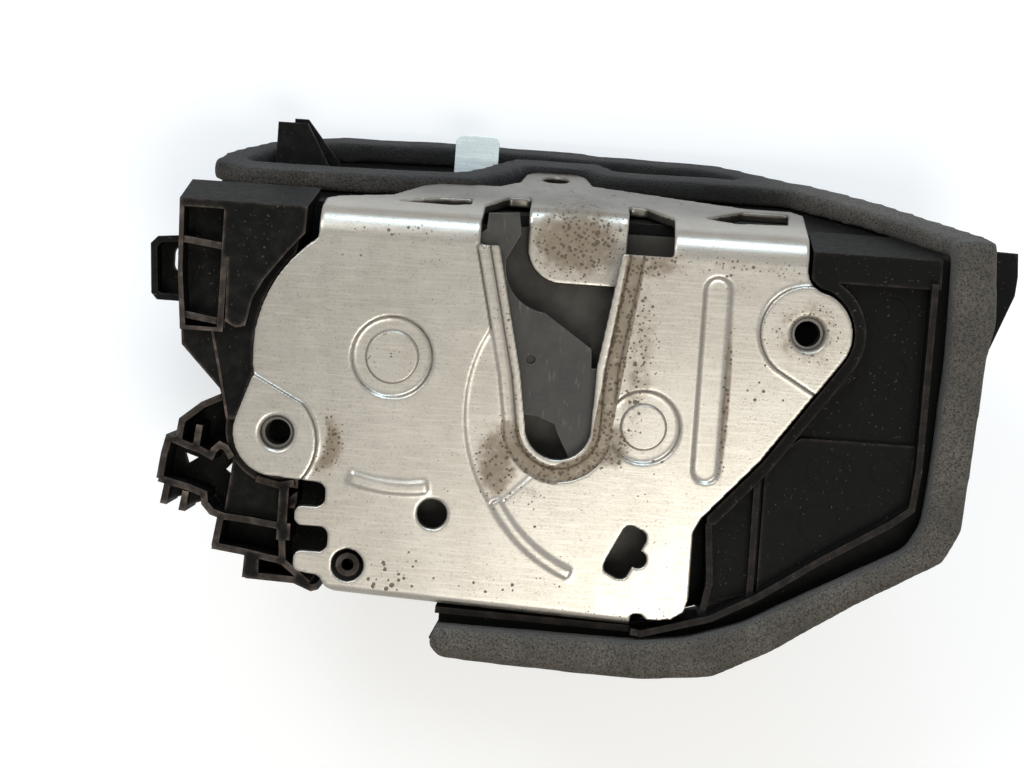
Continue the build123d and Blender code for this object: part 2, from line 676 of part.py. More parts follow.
with BuildPart() as latch_housing:
    # floor behind the mechanism
    with BuildSketch(layer(FLOOR_BACK)):
        add(outline(
            (-66.8, 45), (-66.8, 2.5), (-58, -14), (-51, -24), (-44, -33), (-40, -36), (17, -38.5),
            (31, -34), (40.5, -29), (68, -11), (69, -3), (69.5, 45),
        ))
    extrude(amount=HOUSING_FLOOR_T)

    # left block beside the plate: a low face with a raised panel, hollow from behind
    with BuildSketch(layer(FLOOR_BACK)):
        add(outline((-76.4, 45), (-75.7, 25), (-74.3, 10.6), (-66.3, 2.5), (-64.4, -3.4), (-60, -3.4), (-50, 45)))
    extrude(amount=FLOOR_BACK - STRIP_FRONT)
    with BuildSketch(layer(FLOOR_BACK)):
        add(outline((-76.4, 45), (-75.7, 25), (-74.6, 13.6), (-66.2, 13.6), (-66.2, 45)))
        add(outline(
            (-66.6, 45), (-65.9, 15.7), (-63.8, 14.6), (-61.9, 15.1), (-60.8, 20.6), (-58.8, 24.4),
            (-54.7, 29.9), (-51.4, 33.8), (-51.1, 45),
        ))
    extrude(amount=FLOOR_BACK - BLOCK_FRONT)
    with BuildSketch(layer(FLOOR_BACK + 1)):
        add(outline(
            (-65, 35.5), (-65, 10), (-64.4, 4), (-63.2, 14), (-61.6, 22), (-57.5, 29), (-53.5, 34), (-53, 35.5)))
    extrude(amount=FLOOR_BACK + 1 - STRIP_FRONT - WALL, mode=Mode.SUBTRACT)

    # pocket at the block's left side and its two ribs
    with BuildSketch(layer(POCKET_BACK)):
        add(outline((-75.2, 37.4), (-74.8, 25), (-73.6, 14.4), (-67.4, 14.4), (-67.4, 37.4)))
    extrude(amount=POCKET_BACK, mode=Mode.SUBTRACT)
    with BuildSketch(layer(POCKET_BACK)):
        add(band(((-75.0, 31.1), (-66.8, 30.1)), RIB))
        add(band(((-74.0, 16.5), (-66.0, 15.4)), RIB))
    extrude(amount=POCKET_BACK - BLOCK_FRONT - 0.5)
    with BuildSketch(layer(FLOOR_BACK)):
        add(outline((-75.0, 37.4), (-74.6, 25), (-73.4, 14.4), (-67.4, 14.4), (-67.4, 37.4)))
    extrude(amount=FLOOR_BACK - POCKET_BACK - WALL, mode=Mode.SUBTRACT)

    # edge line down the block's low face
    with BuildSketch(layer(STRIP_FRONT)):
        add(band(((-68.4, 13.6), (-66.2, 4.5), (-64.4, -3.4)), 0.5))
    extrude(amount=0.4)

    # cable bracket: ribs that stand on the floor
    with BuildSketch(layer(FLOOR_BACK)):
        for points in (
            ((-65.6, 1.0), (-69.4, -0.9), (-73.3, -4.2), (-73.8, -8.1)),
            ((-69.8, -4.9), (-70.3, -9.6)),
            ((-75.6, -7.7), (-74.1, -8.3), (-71.8, -9.1), (-69.5, -9.7), (-67.2, -10.8), (-66.7, -9.6),
             (-65.6, -8.5), (-64.4, -9.0), (-63.1, -10.9)),
            ((-75.6, -7.3), (-76.4, -10.9), (-77.0, -15.9)),
            ((-77.2, -15.9), (-71.3, -17.2), (-68.1, -18.3), (-67.9, -20.1), (-66.4, -21.7), (-64.1, -22.4),
             (-58.9, -22.8), (-53.1, -23.5)),
            ((-64.6, -22.6), (-65.4, -28.4)),
            ((-65.9, -28.3), (-60.1, -29.0), (-52.2, -30.3)),
            ((-52.3, -26.0), (-51.9, -31.0)),
            ((-58.8, -29.4), (-59.0, -34.1)),
            ((-59.0, -33.6), (-49.4, -33.9), (-46.0, -35.2), (-44.8, -34.8)),
            ((-51.9, -30.4), (-46.6, -34.4)),
            ((-58.1, -14.6), (-53.5, -15.6), (-50.6, -14.9)),
            ((-75.4, -16.9), (-76.0, -20.8)),
            ((-71.7, -18.0), (-72.3, -21.9)),
        ):
            add(band(points, RIB))
        add(band(((-52.5, -15.4), (-52.5, -23.4)), 1.9))
        add(outline((-53.4, -22.9), (-50.8, -22.9), (-50.8, -26.2), (-53.4, -26.2)))
        add(outline((-59.2, -29.6), (-56.6, -30.0), (-56.5, -33.8), (-59.2, -33.8)))
    extrude(amount=FLOOR_BACK - STRIP_FRONT)
    with BuildSketch(layer(FLOOR_BACK)):
        add(outline((-75.6, -16.4), (-76.2, -20.4), (-72.0, -19.0), (-72.0, -17.2)))
        add(outline((-71.9, -17.2), (-72.4, -21.4), (-68.6, -20.0), (-68.2, -18.3)))
    extrude(amount=FLOOR_BACK - STRIP_FRONT - 3)
    with BuildSketch(layer(FLOOR_BACK)):
        add(outline(
            (-64.5, 3), (-66, 1), (-69.4, -1.0), (-73.4, -4.2), (-75.6, -7.5), (-77.0, -15.9), (-68.1, -18.3),
            (-64.8, -22.5), (-65.5, -28.4), (-59.0, -29.4), (-59.0, -33.8), (-51.5, -33.8), (-46, -35), (-44, -20),
        ))
        add(outline((-74.2, -11.3), (-73.4, -13.6), (-71.3, -12.2)), mode=Mode.SUBTRACT)
        add(outline((-64.2, -12.4), (-65.9, -14.4), (-64.3, -15.5)), mode=Mode.SUBTRACT)
    extrude(amount=HOUSING_FLOOR_T)

    # rim that follows the plate's lower left lobe, with the panel below it
    with BuildSketch(layer(FLOOR_BACK)):
        add(rim_face(0.7, 2.4))
        add(outline((-68, 6), (-58, 6), (-56, -10), (-50, -12), (-50, -20), (-68, -20)), mode=Mode.INTERSECT)
    extrude(amount=FLOOR_BACK - PANEL_FRONT)
    with BuildSketch(layer(PANEL_BACK + 2)):
        add(outline((-64.5, -22.5), (-63.2, -10.2), (-60.5, -12), (-54.5, -15.5), (-52.5, -15.5), (-52.5, -23.5)))
    extrude(amount=2)

    # ear on the far left: a shallow box with a slot in its floor
    with BuildSketch(layer(EAR_BACK)):
        add(outline((-74.8, 32.0), (-81.8, 31.3), (-83.2, 29.8), (-82.5, 20.0), (-81.3, 18.7), (-74.8, 18.7)))
        with Locations((-77.6, 27.0)):
            SlotOverall(5.4, 3.4, rotation=90, mode=Mode.SUBTRACT)
    extrude(amount=EAR_DEPTH)
    with BuildSketch(layer(EAR_BACK - WALL)):
        add(outline((-76.6, 30.7), (-81.2, 30.0), (-81.9, 29.2), (-81.2, 20.4), (-80.6, 20.0), (-76.6, 20.0)))
    extrude(amount=EAR_DEPTH, mode=Mode.SUBTRACT)

    # outer rib right and below, joined to the floor
    with BuildSketch(layer(FLOOR_BACK)):
        add(band(OUTER_RIM, RIB))
    extrude(amount=FLOOR_BACK - RIM_FRONT)
    with BuildSketch(layer(FLOOR_BACK)):
        add(band(((16.7, -38.6), (-21.5, -37.7)), RIB))
    extrude(amount=FLOOR_BACK - RETURN_DEPTH)

    # panels between the plate and the outer rib
    with BuildSketch(layer(PANEL_BACK)):
        add(outline(
            (48.0, 45), (48.0, 31), (57.0, 24), (56, 14), (48, 4), (41, -3), (33, -12), (30.6, -16), (30.6, -33),
            (40.5, -30.0), (68.9, -11.2), (69.7, -3.7), (70.0, 45),
        ))
    extrude(amount=PANEL_BACK - PANEL_FRONT)
    with BuildSketch(layer(PANEL_BACK)):
        add(outline(
            (44.5, -1.2), (47, 0.9), (69.2, 0.9), (68.6, -10.8), (64.8, -13.6), (40.6, -29.5), (40.6, -7)))
    extrude(amount=PANEL_BACK - RAISED_FRONT)
    with BuildSketch(layer(FLOOR_BACK)):
        add(band(((39.2, -7), (39.3, -30.6)), RIB))
        add(band(((30.4, -16.8), (31.4, -28.2), (30.3, -35.0)), RIB))
    extrude(amount=FLOOR_BACK - PANEL_FRONT + 2.5)
    # rim that follows the plate's right edge
    with BuildSketch(layer(FLOOR_BACK)):
        add(rim_face(0.8, 3.0))
        add(outline((30, -17.0), (30, -14.5), (40, -4), (46.6, 14), (46.6, 45), (60, 45), (60, -17.0)),
            mode=Mode.INTERSECT)
    extrude(amount=FLOOR_BACK - BLOCK_FRONT)

    # seal's carrying flange
    with BuildSketch(layer(FLANGE_Y[1])):
        add(outline(*SEAL_OUTER, *reversed(SEAL_INNER)))
        add(outline(*SEAL_INNER[:9], (-20.8, -37.0), (16, -37.6), (31.9, -35.0), (68.9, -11.2), (70, 41)))
    extrude(amount=FLANGE_Y[1] - FLANGE_Y[0])

    # bevelled strip along the top right
    with BuildSketch(layer(FLOOR_BACK)):
        add(outline((46.6, 37.4), (46.6, 31.3), (57.2, 31.3), (71.5, 31.3), (71.5, 45), (46.6, 45)))
    extrude(amount=FLOOR_BACK - BLOCK_FRONT)

    # right tab behind the seal
    with BuildSketch(layer(FLOOR_BACK)):
        add(outline((71, 40), (87.1, 39.5), (87.4, 35), (87.1, 31.2), (83, 20.5), (71, 17)))
    extrude(amount=6)

    # clearance round the plate and behind it
    with BuildSketch(layer(FLOOR_FRONT)):
        add(plate_front_face())
        offset(amount=0.6)
    extrude(amount=FLOOR_FRONT + 2, mode=Mode.SUBTRACT)

    # room for the rivets, the nuts, the release finger and the back screws
    with BuildSketch(layer(FLOOR_FRONT + RIVET_T + GAP)):
        with Locations(CLAW_AXIS):
            Circle(CLAW_PIN_R + 1.6)
        with Locations(PAWL_AXIS):
            Circle(PAWL_PIN_R + 1.6)
    extrude(amount=RIVET_T + GAP, mode=Mode.SUBTRACT)
    with BuildSketch(layer(FLOOR_BACK)):
        with Locations(BOLT_LEFT, BOLT_RIGHT):
            Circle(NUT_R + 1.0)
        add(outline((25.0, -12), (32.0, -12), (32.0, -1.5), (25.0, -1.5)))
    extrude(amount=FLOOR_BACK, mode=Mode.SUBTRACT)
    with BuildSketch(layer(FLOOR_BACK)):
        with Locations(*BACK_SCREWS):
            Circle(SCREW_R + RUN)
        with Locations(RELEASE_AXIS):
            Circle(RELEASE_PIN_R + RUN)
    extrude(amount=HOUSING_FLOOR_T, mode=Mode.SUBTRACT)
    add(above_top(-PLATE_T - GAP, -50.6, 100), mode=Mode.SUBTRACT)
    add(above_top(-0.4, -100, -50), mode=Mode.SUBTRACT)
    with BuildSketch(TOP.offset(SEAL_TOP - SEAL_H)):
        add(band(SEAL_STRAND, SEAL_STRAND_W + 1))
    extrude(amount=20, mode=Mode.SUBTRACT)
save(latch_housing, "latch_housing")


# ---------------------------------------------------------------- seal
with BuildPart() as seal_gasket:
    with BuildSketch(TOP.offset(SEAL_TOP - SEAL_H)):
        add(outline(*SEAL_LOOP))
        offset(amount=SEAL_W / 2)
        with BuildSketch(mode=Mode.PRIVATE) as inside:
            add(outline(*SEAL_LOOP))
            offset(amount=-SEAL_W / 2)
        add(inside.sketch, mode=Mode.SUBTRACT)
        add(band(SEAL_STRAND, SEAL_STRAND_W))
    extrude(amount=SEAL_H)
    with BuildSketch(layer(SEAL_BACK)):
        add(outline(*SEAL_OUTER, *reversed(SEAL_INNER)))
    extrude(amount=SEAL_BACK - SEAL_FRONT)
save(seal_gasket, "seal_gasket")

# ---------------------------------------------------------------- gears of the lock drive
GEAR_ADDENDUM = 0.8 * GEAR_MODULE
GEAR_DEDENDUM = 1.1 * GEAR_MODULE
MESH_EASE = 0.1  # added to each centre distance
LEVER_LAYER = BOX_FRONT + WALL + 0.6  # front of the sector and the idler's pinion
MOTOR_LAYER = LEVER_LAYER + GEAR_T + 0.4  # front of the idler's wheel and the motor's pinion
MOTOR_TO_IDLER = -25.0
IDLER_TO_LEVER = 5.0
IDLER_AXIS = polar(MOTOR_AXIS, GEAR_MODULE * (PINION_TEETH + IDLER_TEETH) / 2 + MESH_EASE, MOTOR_TO_IDLER)
LEVER_AXIS = polar(
    IDLER_AXIS, GEAR_MODULE * (IDLER_PINION_TEETH + SECTOR_TEETH) / 2 + MESH_EASE, IDLER_TO_LEVER)
MOTOR_FRONT = MOTOR_LAYER + GEAR_T + 1.0
MOTOR_SHAFT_R = 1.0
SHAFT_REACH = 12.0  # length of the shaft inside the motor
IDLER_AXLE_R = 1.5
LOCK_SHAFT_R = 3.0


def involute(angle):
    """Involute of an angle in radians."""
    return math.tan(angle) - angle


def tooth_points(teeth, centre, first, count):
    """Outline points of a run of gear teeth, the first one centred on an angle."""
    pitch_r = GEAR_MODULE * teeth / 2
    pressure = math.radians(PRESSURE_ANGLE)
    base_r = pitch_r * math.cos(pressure)
    root_r = pitch_r - GEAR_DEDENDUM
    half_pitch = (math.pi * GEAR_MODULE / 2 - GEAR_BACKLASH) / 2 / pitch_r
    radii = [root_r, max(base_r, root_r + 0.1), pitch_r, pitch_r + GEAR_ADDENDUM]

    def half_angle(radius):
        slope = math.acos(min(1.0, base_r / max(radius, base_r)))
        return math.degrees(half_pitch + involute(pressure) - involute(slope))

    points = []
    for tooth in range(count):
        middle = first + 360.0 / teeth * tooth
        points += [polar(centre, r, middle - half_angle(r)) for r in radii]
        points += [polar(centre, r, middle + half_angle(r)) for r in reversed(radii)]
    return points


with BuildPart() as motor_pinion:
    with BuildSketch(layer(MOTOR_LAYER + GEAR_T)):
        add(outline(*tooth_points(PINION_TEETH, MOTOR_AXIS, MOTOR_TO_IDLER, PINION_TEETH)))
        with Locations(MOTOR_AXIS):
            Circle(MOTOR_SHAFT_R + RUN, mode=Mode.SUBTRACT)
    extrude(amount=GEAR_T)
save(motor_pinion, "motor_pinion")

with BuildPart() as idler_gear:
    with BuildSketch(layer(MOTOR_LAYER + GEAR_T)):
        add(outline(*tooth_points(
            IDLER_TEETH, IDLER_AXIS, MOTOR_TO_IDLER + 180 + 180 / IDLER_TEETH, IDLER_TEETH)))
    extrude(amount=GEAR_T)
    with BuildSketch(layer(MOTOR_LAYER)):
        add(outline(*tooth_points(IDLER_PINION_TEETH, IDLER_AXIS, IDLER_TO_LEVER, IDLER_PINION_TEETH)))
    extrude(amount=MOTOR_LAYER - LEVER_LAYER)
    with BuildSketch(layer(MOTOR_LAYER + GEAR_T)):
        with Locations(IDLER_AXIS):
            Circle(10.8)
            Circle(5.2, mode=Mode.SUBTRACT)
    extrude(amount=1.3, mode=Mode.SUBTRACT)
    with BuildSketch(layer(MOTOR_LAYER + GEAR_T)):
        with Locations(IDLER_AXIS):
            Circle(IDLER_AXLE_R + RUN)
    extrude(amount=20, mode=Mode.SUBTRACT)
save(idler_gear, "idler_gear")

with BuildPart() as idler_axle:
    with BuildSketch(layer(BOX_BACK + 1.5)):
        with Locations(IDLER_AXIS):
            Circle(IDLER_AXLE_R)
    extrude(amount=BOX_BACK + 1.5 - BOX_FRONT - 0.5)
save(idler_axle, "idler_axle")

SECTOR_FIRST = IDLER_TO_LEVER + 180 + 180 / SECTOR_TEETH - 360 / SECTOR_TEETH * 2
SECTOR_RUN = 8
CRANK_T = 2.0
CRANK_BACK = BOX_FRONT - 0.5
CRANK_TIP = (16.5, 8.5)
DRIVE_FLAT = 2.1  # half the width across the shaft's driving flats

with BuildPart() as lock_lever:
    with BuildSketch(layer(LEVER_LAYER + GEAR_T)):
        add(outline(
            *tooth_points(SECTOR_TEETH, LEVER_AXIS, SECTOR_FIRST, SECTOR_RUN),
            polar(LEVER_AXIS, 5.5, SECTOR_FIRST + 90), polar(LEVER_AXIS, 5.5, SECTOR_FIRST - 40),
        ))
        with Locations(LEVER_AXIS):
            Circle(6.0)
    extrude(amount=GEAR_T)
    with BuildSketch(layer(BOX_BACK + 1.5)):
        with Locations(LEVER_AXIS):
            Circle(LOCK_SHAFT_R)
    extrude(amount=BOX_BACK + 1.5 - BOX_FRONT)
    with BuildSketch(layer(BOX_FRONT)) as drive_end:
        with Locations(LEVER_AXIS):
            Circle(LOCK_SHAFT_R - 0.2)
            Rectangle(10, 2 * DRIVE_FLAT, mode=Mode.INTERSECT)
    extrude(amount=BOX_FRONT - CRANK_BACK + CRANK_T)
save(lock_lever, "lock_lever")

with BuildPart() as lock_crank:
    with BuildSketch(layer(CRANK_BACK)):
        with BuildSketch(mode=Mode.PRIVATE) as arm:
            with Locations(LEVER_AXIS):
                Circle(5.0)
            with Locations(CRANK_TIP):
                Circle(3.0)
            make_hull()
        add(arm.sketch)
        with BuildSketch(mode=Mode.PRIVATE) as drive_hole:
            with Locations(LEVER_AXIS):
                Circle(LOCK_SHAFT_R - 0.2 + RUN)
                Rectangle(10, 2 * (DRIVE_FLAT + RUN), mode=Mode.INTERSECT)
        add(drive_hole.sketch, mode=Mode.SUBTRACT)
    extrude(amount=CRANK_T)
save(lock_crank, "lock_crank")

with BuildPart() as motor:
    with BuildSketch(layer(MOTOR_FRONT + MOTOR_LENGTH)):
        with Locations(MOTOR_AXIS):
            Circle(MOTOR_R)
            Rectangle(2 * MOTOR_R, 1.6 * MOTOR_R, mode=Mode.INTERSECT)
    extrude(amount=MOTOR_LENGTH)
    chamfer(motor.edges().group_by(Axis.Y)[0], length=0.8)
    with BuildSketch(layer(MOTOR_FRONT + SHAFT_REACH)):
        with Locations(MOTOR_AXIS):
            Circle(MOTOR_SHAFT_R + RUN)
    extrude(amount=SHAFT_REACH, mode=Mode.SUBTRACT)
save(motor, "motor")

with BuildPart() as motor_shaft:
    with BuildSketch(layer(MOTOR_FRONT + SHAFT_REACH - 0.2)):
        with Locations(MOTOR_AXIS):
            Circle(MOTOR_SHAFT_R)
    extrude(amount=MOTOR_FRONT + SHAFT_REACH - 0.2 - MOTOR_LAYER + 0.4)
save(motor_shaft, "motor_shaft")

# ---------------------------------------------------------------- inner release lever in the top well
INNER_PIVOT = (33.0, 31.0)  # y and z of its pin, which runs along the plate
INNER_LEFT = -25.9
INNER_RIGHT = -16.8
INNER_ARM_Y = 44.2
INNER_T = 2.0
INNER_TOP = 56.8
INNER_PIN_R = 2.0
INNER_HUB_R = 4.2
TONGUE_TIP = (FLOOR_BACK + 1.3, 25.5)


def side_band(points, width):
    """A strip of even width along points in the side view."""
    with BuildSketch() as face:
        with BuildLine():
            Polyline(*points)
        trace(line_width=width)
    return face.sketch


with BuildPart() as inner_release_lever:
    with BuildSketch(Plane.YZ.offset(INNER_LEFT)):
        add(side_band(
            (TONGUE_TIP, INNER_PIVOT, (INNER_ARM_Y + INNER_T / 2, 30.0), (INNER_ARM_Y + INNER_T / 2, INNER_TOP)),
            INNER_T))
        with Locations(INNER_PIVOT):
            Circle(INNER_HUB_R)
            Circle(INNER_PIN_R + RUN, mode=Mode.SUBTRACT)
    extrude(amount=INNER_RIGHT - INNER_LEFT)
    fillet(inner_release_lever.edges().filter_by(Axis.Y).group_by(Axis.Z)[-1], radius=1.5)
save(inner_release_lever, "inner_release_lever")

with BuildPart() as inner_lever_pin:
    with BuildSketch(Plane.YZ.offset(INNER_LEFT - 4)):
        with Locations(INNER_PIVOT):
            Circle(INNER_PIN_R)
    extrude(amount=INNER_RIGHT - INNER_LEFT + 8)
save(inner_lever_pin, "inner_lever_pin")

# ---------------------------------------------------------------- release lever
with BuildPart() as release_lever:
    with BuildSketch(layer(RELEASE_FRONT + RELEASE_T)):
        for start, end, first_r, last_r in (
            (RELEASE_AXIS, FINGER, 6.0, 3.0),
            (RELEASE_AXIS, CABLE_EYE, 6.0, 3.6),
            (RELEASE_AXIS, NUDGE, 6.0, 3.0),
        ):
            with BuildSketch(mode=Mode.PRIVATE) as arm:
                with Locations(start):
                    Circle(first_r)
                with Locations(end):
                    Circle(last_r)
                make_hull()
            add(arm.sketch)
        with Locations(RELEASE_AXIS):
            Circle(RELEASE_PIN_R + RUN, mode=Mode.SUBTRACT)
        with Locations(CABLE_EYE):
            Circle(1.7, mode=Mode.SUBTRACT)
    extrude(amount=RELEASE_T)
    with BuildSketch(layer(RELEASE_FRONT)):
        with Locations(FINGER):
            Circle(FINGER_R)
    extrude(amount=RELEASE_FRONT - PAWL_FRONT)
    # pad bent back under the inner lever's tongue
    with BuildSketch(layer(RELEASE_FRONT + RELEASE_T + 1.0)):
        with Locations((NUDGE[0], NUDGE[1] + 1.5)):
            Rectangle(6.0, 3.0)
    extrude(amount=1.0)
save(release_lever, "release_lever")

with BuildPart() as release_pin:
    with BuildSketch(layer(BOX_FRONT + WALL)):
        with Locations(RELEASE_AXIS):
            Circle(RELEASE_PIN_R)
    extrude(amount=BOX_FRONT + WALL - FLOOR_FRONT)
save(release_pin, "release_pin")

# ---------------------------------------------------------------- actuator housing
BOX_PLAN = (
    (-72.5, FLOOR_BACK), (-72.8, 26.0), (-71.0, 38.0), (-65.0, 47.0), (-54.0, 54.5), (-25.0, 57.5), (30.0, 54.5),
    (50.0, 41.0), (63.0, 30.0), (72.0, 19.5), (72.0, FLOOR_BACK),
)
SEAL_SEAT = SEAL_TOP - SEAL_H
FIN_T = 1.6
CONNECTOR = (10.0, -12.0)
COVER_SCREWS = ((-53.5, 16.0), (-53.5, -17.0), (29.5, 15.5), (29.5, -17.0))
SCREW_BOSS_R = 3.6

with BuildPart() as actuator_housing:
    with BuildSketch(Plane.XY.offset(BOX_BOTTOM)):
        add(outline(*BOX_PLAN))
    extrude(amount=90)
    add(above_top(SEAL_SEAT, -100, 100), mode=Mode.SUBTRACT)
    # flat seat for the cover below the seal's shelf
    with BuildSketch(layer(BOX_BACK + 20)):
        add(outline((-80, -30), (-80, CHAMBER_TOP + 4), (80, CHAMBER_TOP + 4), (80, -30)))
    extrude(amount=20, mode=Mode.SUBTRACT)
    # bay for the release lever, open to the front and to the lower left
    with BuildSketch(layer(BOX_FRONT)):
        add(outline((-72, -30), (-72, -2), (-66, 3), (-66, 32), (68, 32), (68, -19.5), (10, -19.5), (0, -30)))
    extrude(amount=BOX_FRONT, mode=Mode.SUBTRACT)
    # drive chamber, open to the back
    with BuildSketch(layer(BOX_BACK)):
        add(outline(
            (CHAMBER_LEFT, BOX_BOTTOM + WALL), (CHAMBER_LEFT, CHAMBER_TOP), (CHAMBER_RIGHT, CHAMBER_TOP),
            (CHAMBER_RIGHT, BOX_BOTTOM + WALL)))
    extrude(amount=BOX_BACK - BOX_FRONT - WALL, mode=Mode.SUBTRACT)
    # side pockets, open below
    with BuildSketch(Plane.XY.offset(BOX_BOTTOM)):
        add(outline((-57, 49.3), (-57, 27), (-70, 27), (-69, 37), (-63.5, 45)))
        add(outline((33, 49.5), (34, 49.3), (49, 39), (61, 28), (61.5, 27), (33, 27)))
    extrude(amount=21 - BOX_BOTTOM, mode=Mode.SUBTRACT)
    # nothing behind the cable bracket
    with BuildSketch(layer(BOX_BACK + 20)):
        add(outline((-90, -40), (-90, 9), (-74, 9), (-64.5, 0.5), (-64.5, -40)))
    extrude(amount=60, mode=Mode.SUBTRACT)
    # lightening pockets over the chamber
    with BuildSketch(layer(BOX_FRONT + 14)):
        add(outline((-62, 22), (-62, 33), (-31, 33), (-31, 22)))
        add(outline((-11, 22), (-11, 33), (60, 33), (60, 22)))
    extrude(amount=20, mode=Mode.SUBTRACT)
    # well inside the top seal, with the inner lever's channel below it
    with BuildSketch(Plane.XY.offset(WELL_FLOOR)):
        add(outline(
            (-49, 37.5), (-26.5, 37.5), (-23, 38.5), (-19.5, 41.5), (-16.0, 44.0), (-16.0, 49.3),
            (-26, 49.3), (-46, 47), (-49, 45.3),
        ))
    extrude(amount=40, mode=Mode.SUBTRACT)
    with BuildSketch(Plane.YZ.offset(INNER_LEFT - 0.5)):
        add(outline((15, 21.5), (30, 21.5), (38, 25), (48.5, 25), (48.5, 36), (15, 36)))
    extrude(amount=INNER_RIGHT - INNER_LEFT + 1, mode=Mode.SUBTRACT)
    with BuildSketch(Plane.YZ.offset(INNER_LEFT - 4.5)):
        with Locations(INNER_PIVOT):
            Circle(INNER_PIN_R + RUN)
    extrude(amount=INNER_RIGHT - INNER_LEFT + 9, mode=Mode.SUBTRACT)
    # shallow recess in the narrow end of the seal's loop
    with BuildSketch(TOP.offset(SEAL_SEAT)):
        add(outline((10, 40.5), (40, 40.5), (28, 44.5), (10, 44.8)))
    extrude(amount=-4, mode=Mode.SUBTRACT)
    # bearings of the lock lever, the idler's axle and the release pin, and the window for the leads
    with BuildSketch(layer(BOX_FRONT + WALL)):
        with Locations(LEVER_AXIS):
            Circle(LOCK_SHAFT_R + RUN)
        with Locations(IDLER_AXIS):
            Circle(IDLER_AXLE_R + RUN)
        with Locations(RELEASE_AXIS):
            Circle(RELEASE_PIN_R + RUN)
        with Locations(LEAD_WINDOW):
            Rectangle(*LEAD_WINDOW_SIZE)
    extrude(amount=WALL, mode=Mode.SUBTRACT)
    # cradle under the motor
    with BuildSketch(layer(BOX_BACK - 4)):
        add(outline((-47, BOX_BOTTOM + 1), (-47, -1), (-25, -1), (-25, BOX_BOTTOM + 1)))
        with Locations(MOTOR_AXIS):
            Circle(MOTOR_R + 0.1, mode=Mode.SUBTRACT)
            Rectangle(2 * MOTOR_R, 1.6 * MOTOR_R + 0.2, mode=Mode.SUBTRACT)
    extrude(amount=4)
    # screw bosses
    with BuildSketch(layer(BOX_BACK)):
        with Locations(*COVER_SCREWS):
            Circle(SCREW_BOSS_R)
    extrude(amount=16)
    with BuildSketch(layer(BOX_BACK)):
        with Locations(*COVER_SCREWS):
            Circle(1.2)
    extrude(amount=9, mode=Mode.SUBTRACT)
    # guide fins inside the loop of the seal, and the web between them
    for y, left, top, slope, right in ((38.0, -62.6, 56.7, -56.5, -51.5), (43.0, -59.8, 57.8, -57.0, -49.9)):
        with BuildSketch(layer(y + FIN_T / 2)):
            add(outline((left, 40), (left, top), (slope, top), (right, top - 8.6), (right, 40)))
        extrude(amount=FIN_T)
    with BuildSketch(Plane.XY.offset(40)):
        with Locations((-59.0, 40.5)):
            Rectangle(FIN_T, 5.0)
    extrude(amount=16)
save(actuator_housing, "actuator_housing")

# ---------------------------------------------------------------- cover, screws and connector
DOME_R = MOTOR_R + 2.4
DOME_BACK = MOTOR_FRONT + MOTOR_LENGTH + 2.2
SHROUD = (22.0, 11.0)
SHROUD_BACK = BOX_BACK + 13.0
TERMINALS = 4
TERMINAL_PITCH = 4.0

with BuildPart() as actuator_cover:
    with BuildSketch(layer(BOX_BACK + COVER_T)):
        with BuildLine():
            FilletPolyline(
                (-58, BOX_BOTTOM + 0.5), (-58, 21), (34, 21), (34, BOX_BOTTOM + 0.5), close=True, radius=3)
        make_face()
    extrude(amount=COVER_T)
    with BuildSketch(layer(DOME_BACK)):
        with Locations(MOTOR_AXIS):
            Circle(DOME_R)
    extrude(amount=DOME_BACK - BOX_BACK)
    chamfer(actuator_cover.edges().filter_by(GeomType.CIRCLE).group_by(Axis.Y)[-1], length=1.2)
    with BuildSketch(layer(DOME_BACK - WALL)):
        with Locations(MOTOR_AXIS):
            Circle(MOTOR_R + 0.3)
    extrude(amount=DOME_BACK, mode=Mode.SUBTRACT)
    # connector shroud
    with BuildSketch(layer(SHROUD_BACK)):
        with Locations(CONNECTOR):
            RectangleRounded(*SHROUD, 2.0)
    extrude(amount=SHROUD_BACK - BOX_BACK)
    with BuildSketch(layer(SHROUD_BACK)):
        with Locations(CONNECTOR):
            RectangleRounded(SHROUD[0] - 3, SHROUD[1] - 3, 1.0)
    extrude(amount=SHROUD_BACK - BOX_BACK - COVER_T, mode=Mode.SUBTRACT)
    # stiffening ribs
    with BuildSketch(layer(BOX_BACK + COVER_T + 1.5)):
        for z in (17.5, -4.0, -18.5):
            add(band(((-20.5, z), (25.5, z)), RIB))
        with Locations(CONNECTOR):
            Rectangle(*SHROUD, mode=Mode.SUBTRACT)
    extrude(amount=1.5)
    # bearings and screw holes
    with BuildSketch(layer(BOX_BACK + COVER_T + 1.5)):
        with Locations(IDLER_AXIS, LEVER_AXIS):
            Circle(LOCK_SHAFT_R + 2.4)
    extrude(amount=1.5)
    with BuildSketch(layer(BOX_BACK + 1.6)):
        with Locations(IDLER_AXIS):
            Circle(IDLER_AXLE_R + RUN)
        with Locations(LEVER_AXIS):
            Circle(LOCK_SHAFT_R + RUN)
    extrude(amount=3, mode=Mode.SUBTRACT)
    with BuildSketch(layer(BOX_BACK + COVER_T)):
        with Locations(*COVER_SCREWS):
            Circle(1.7)
        with Locations(CONNECTOR):
            with GridLocations(TERMINAL_PITCH, 1, TERMINALS, 1):
                Rectangle(0.9 + 2 * RUN, 0.9 + 2 * RUN)
    extrude(amount=3, mode=Mode.SUBTRACT)
save(actuator_cover, "actuator_cover")


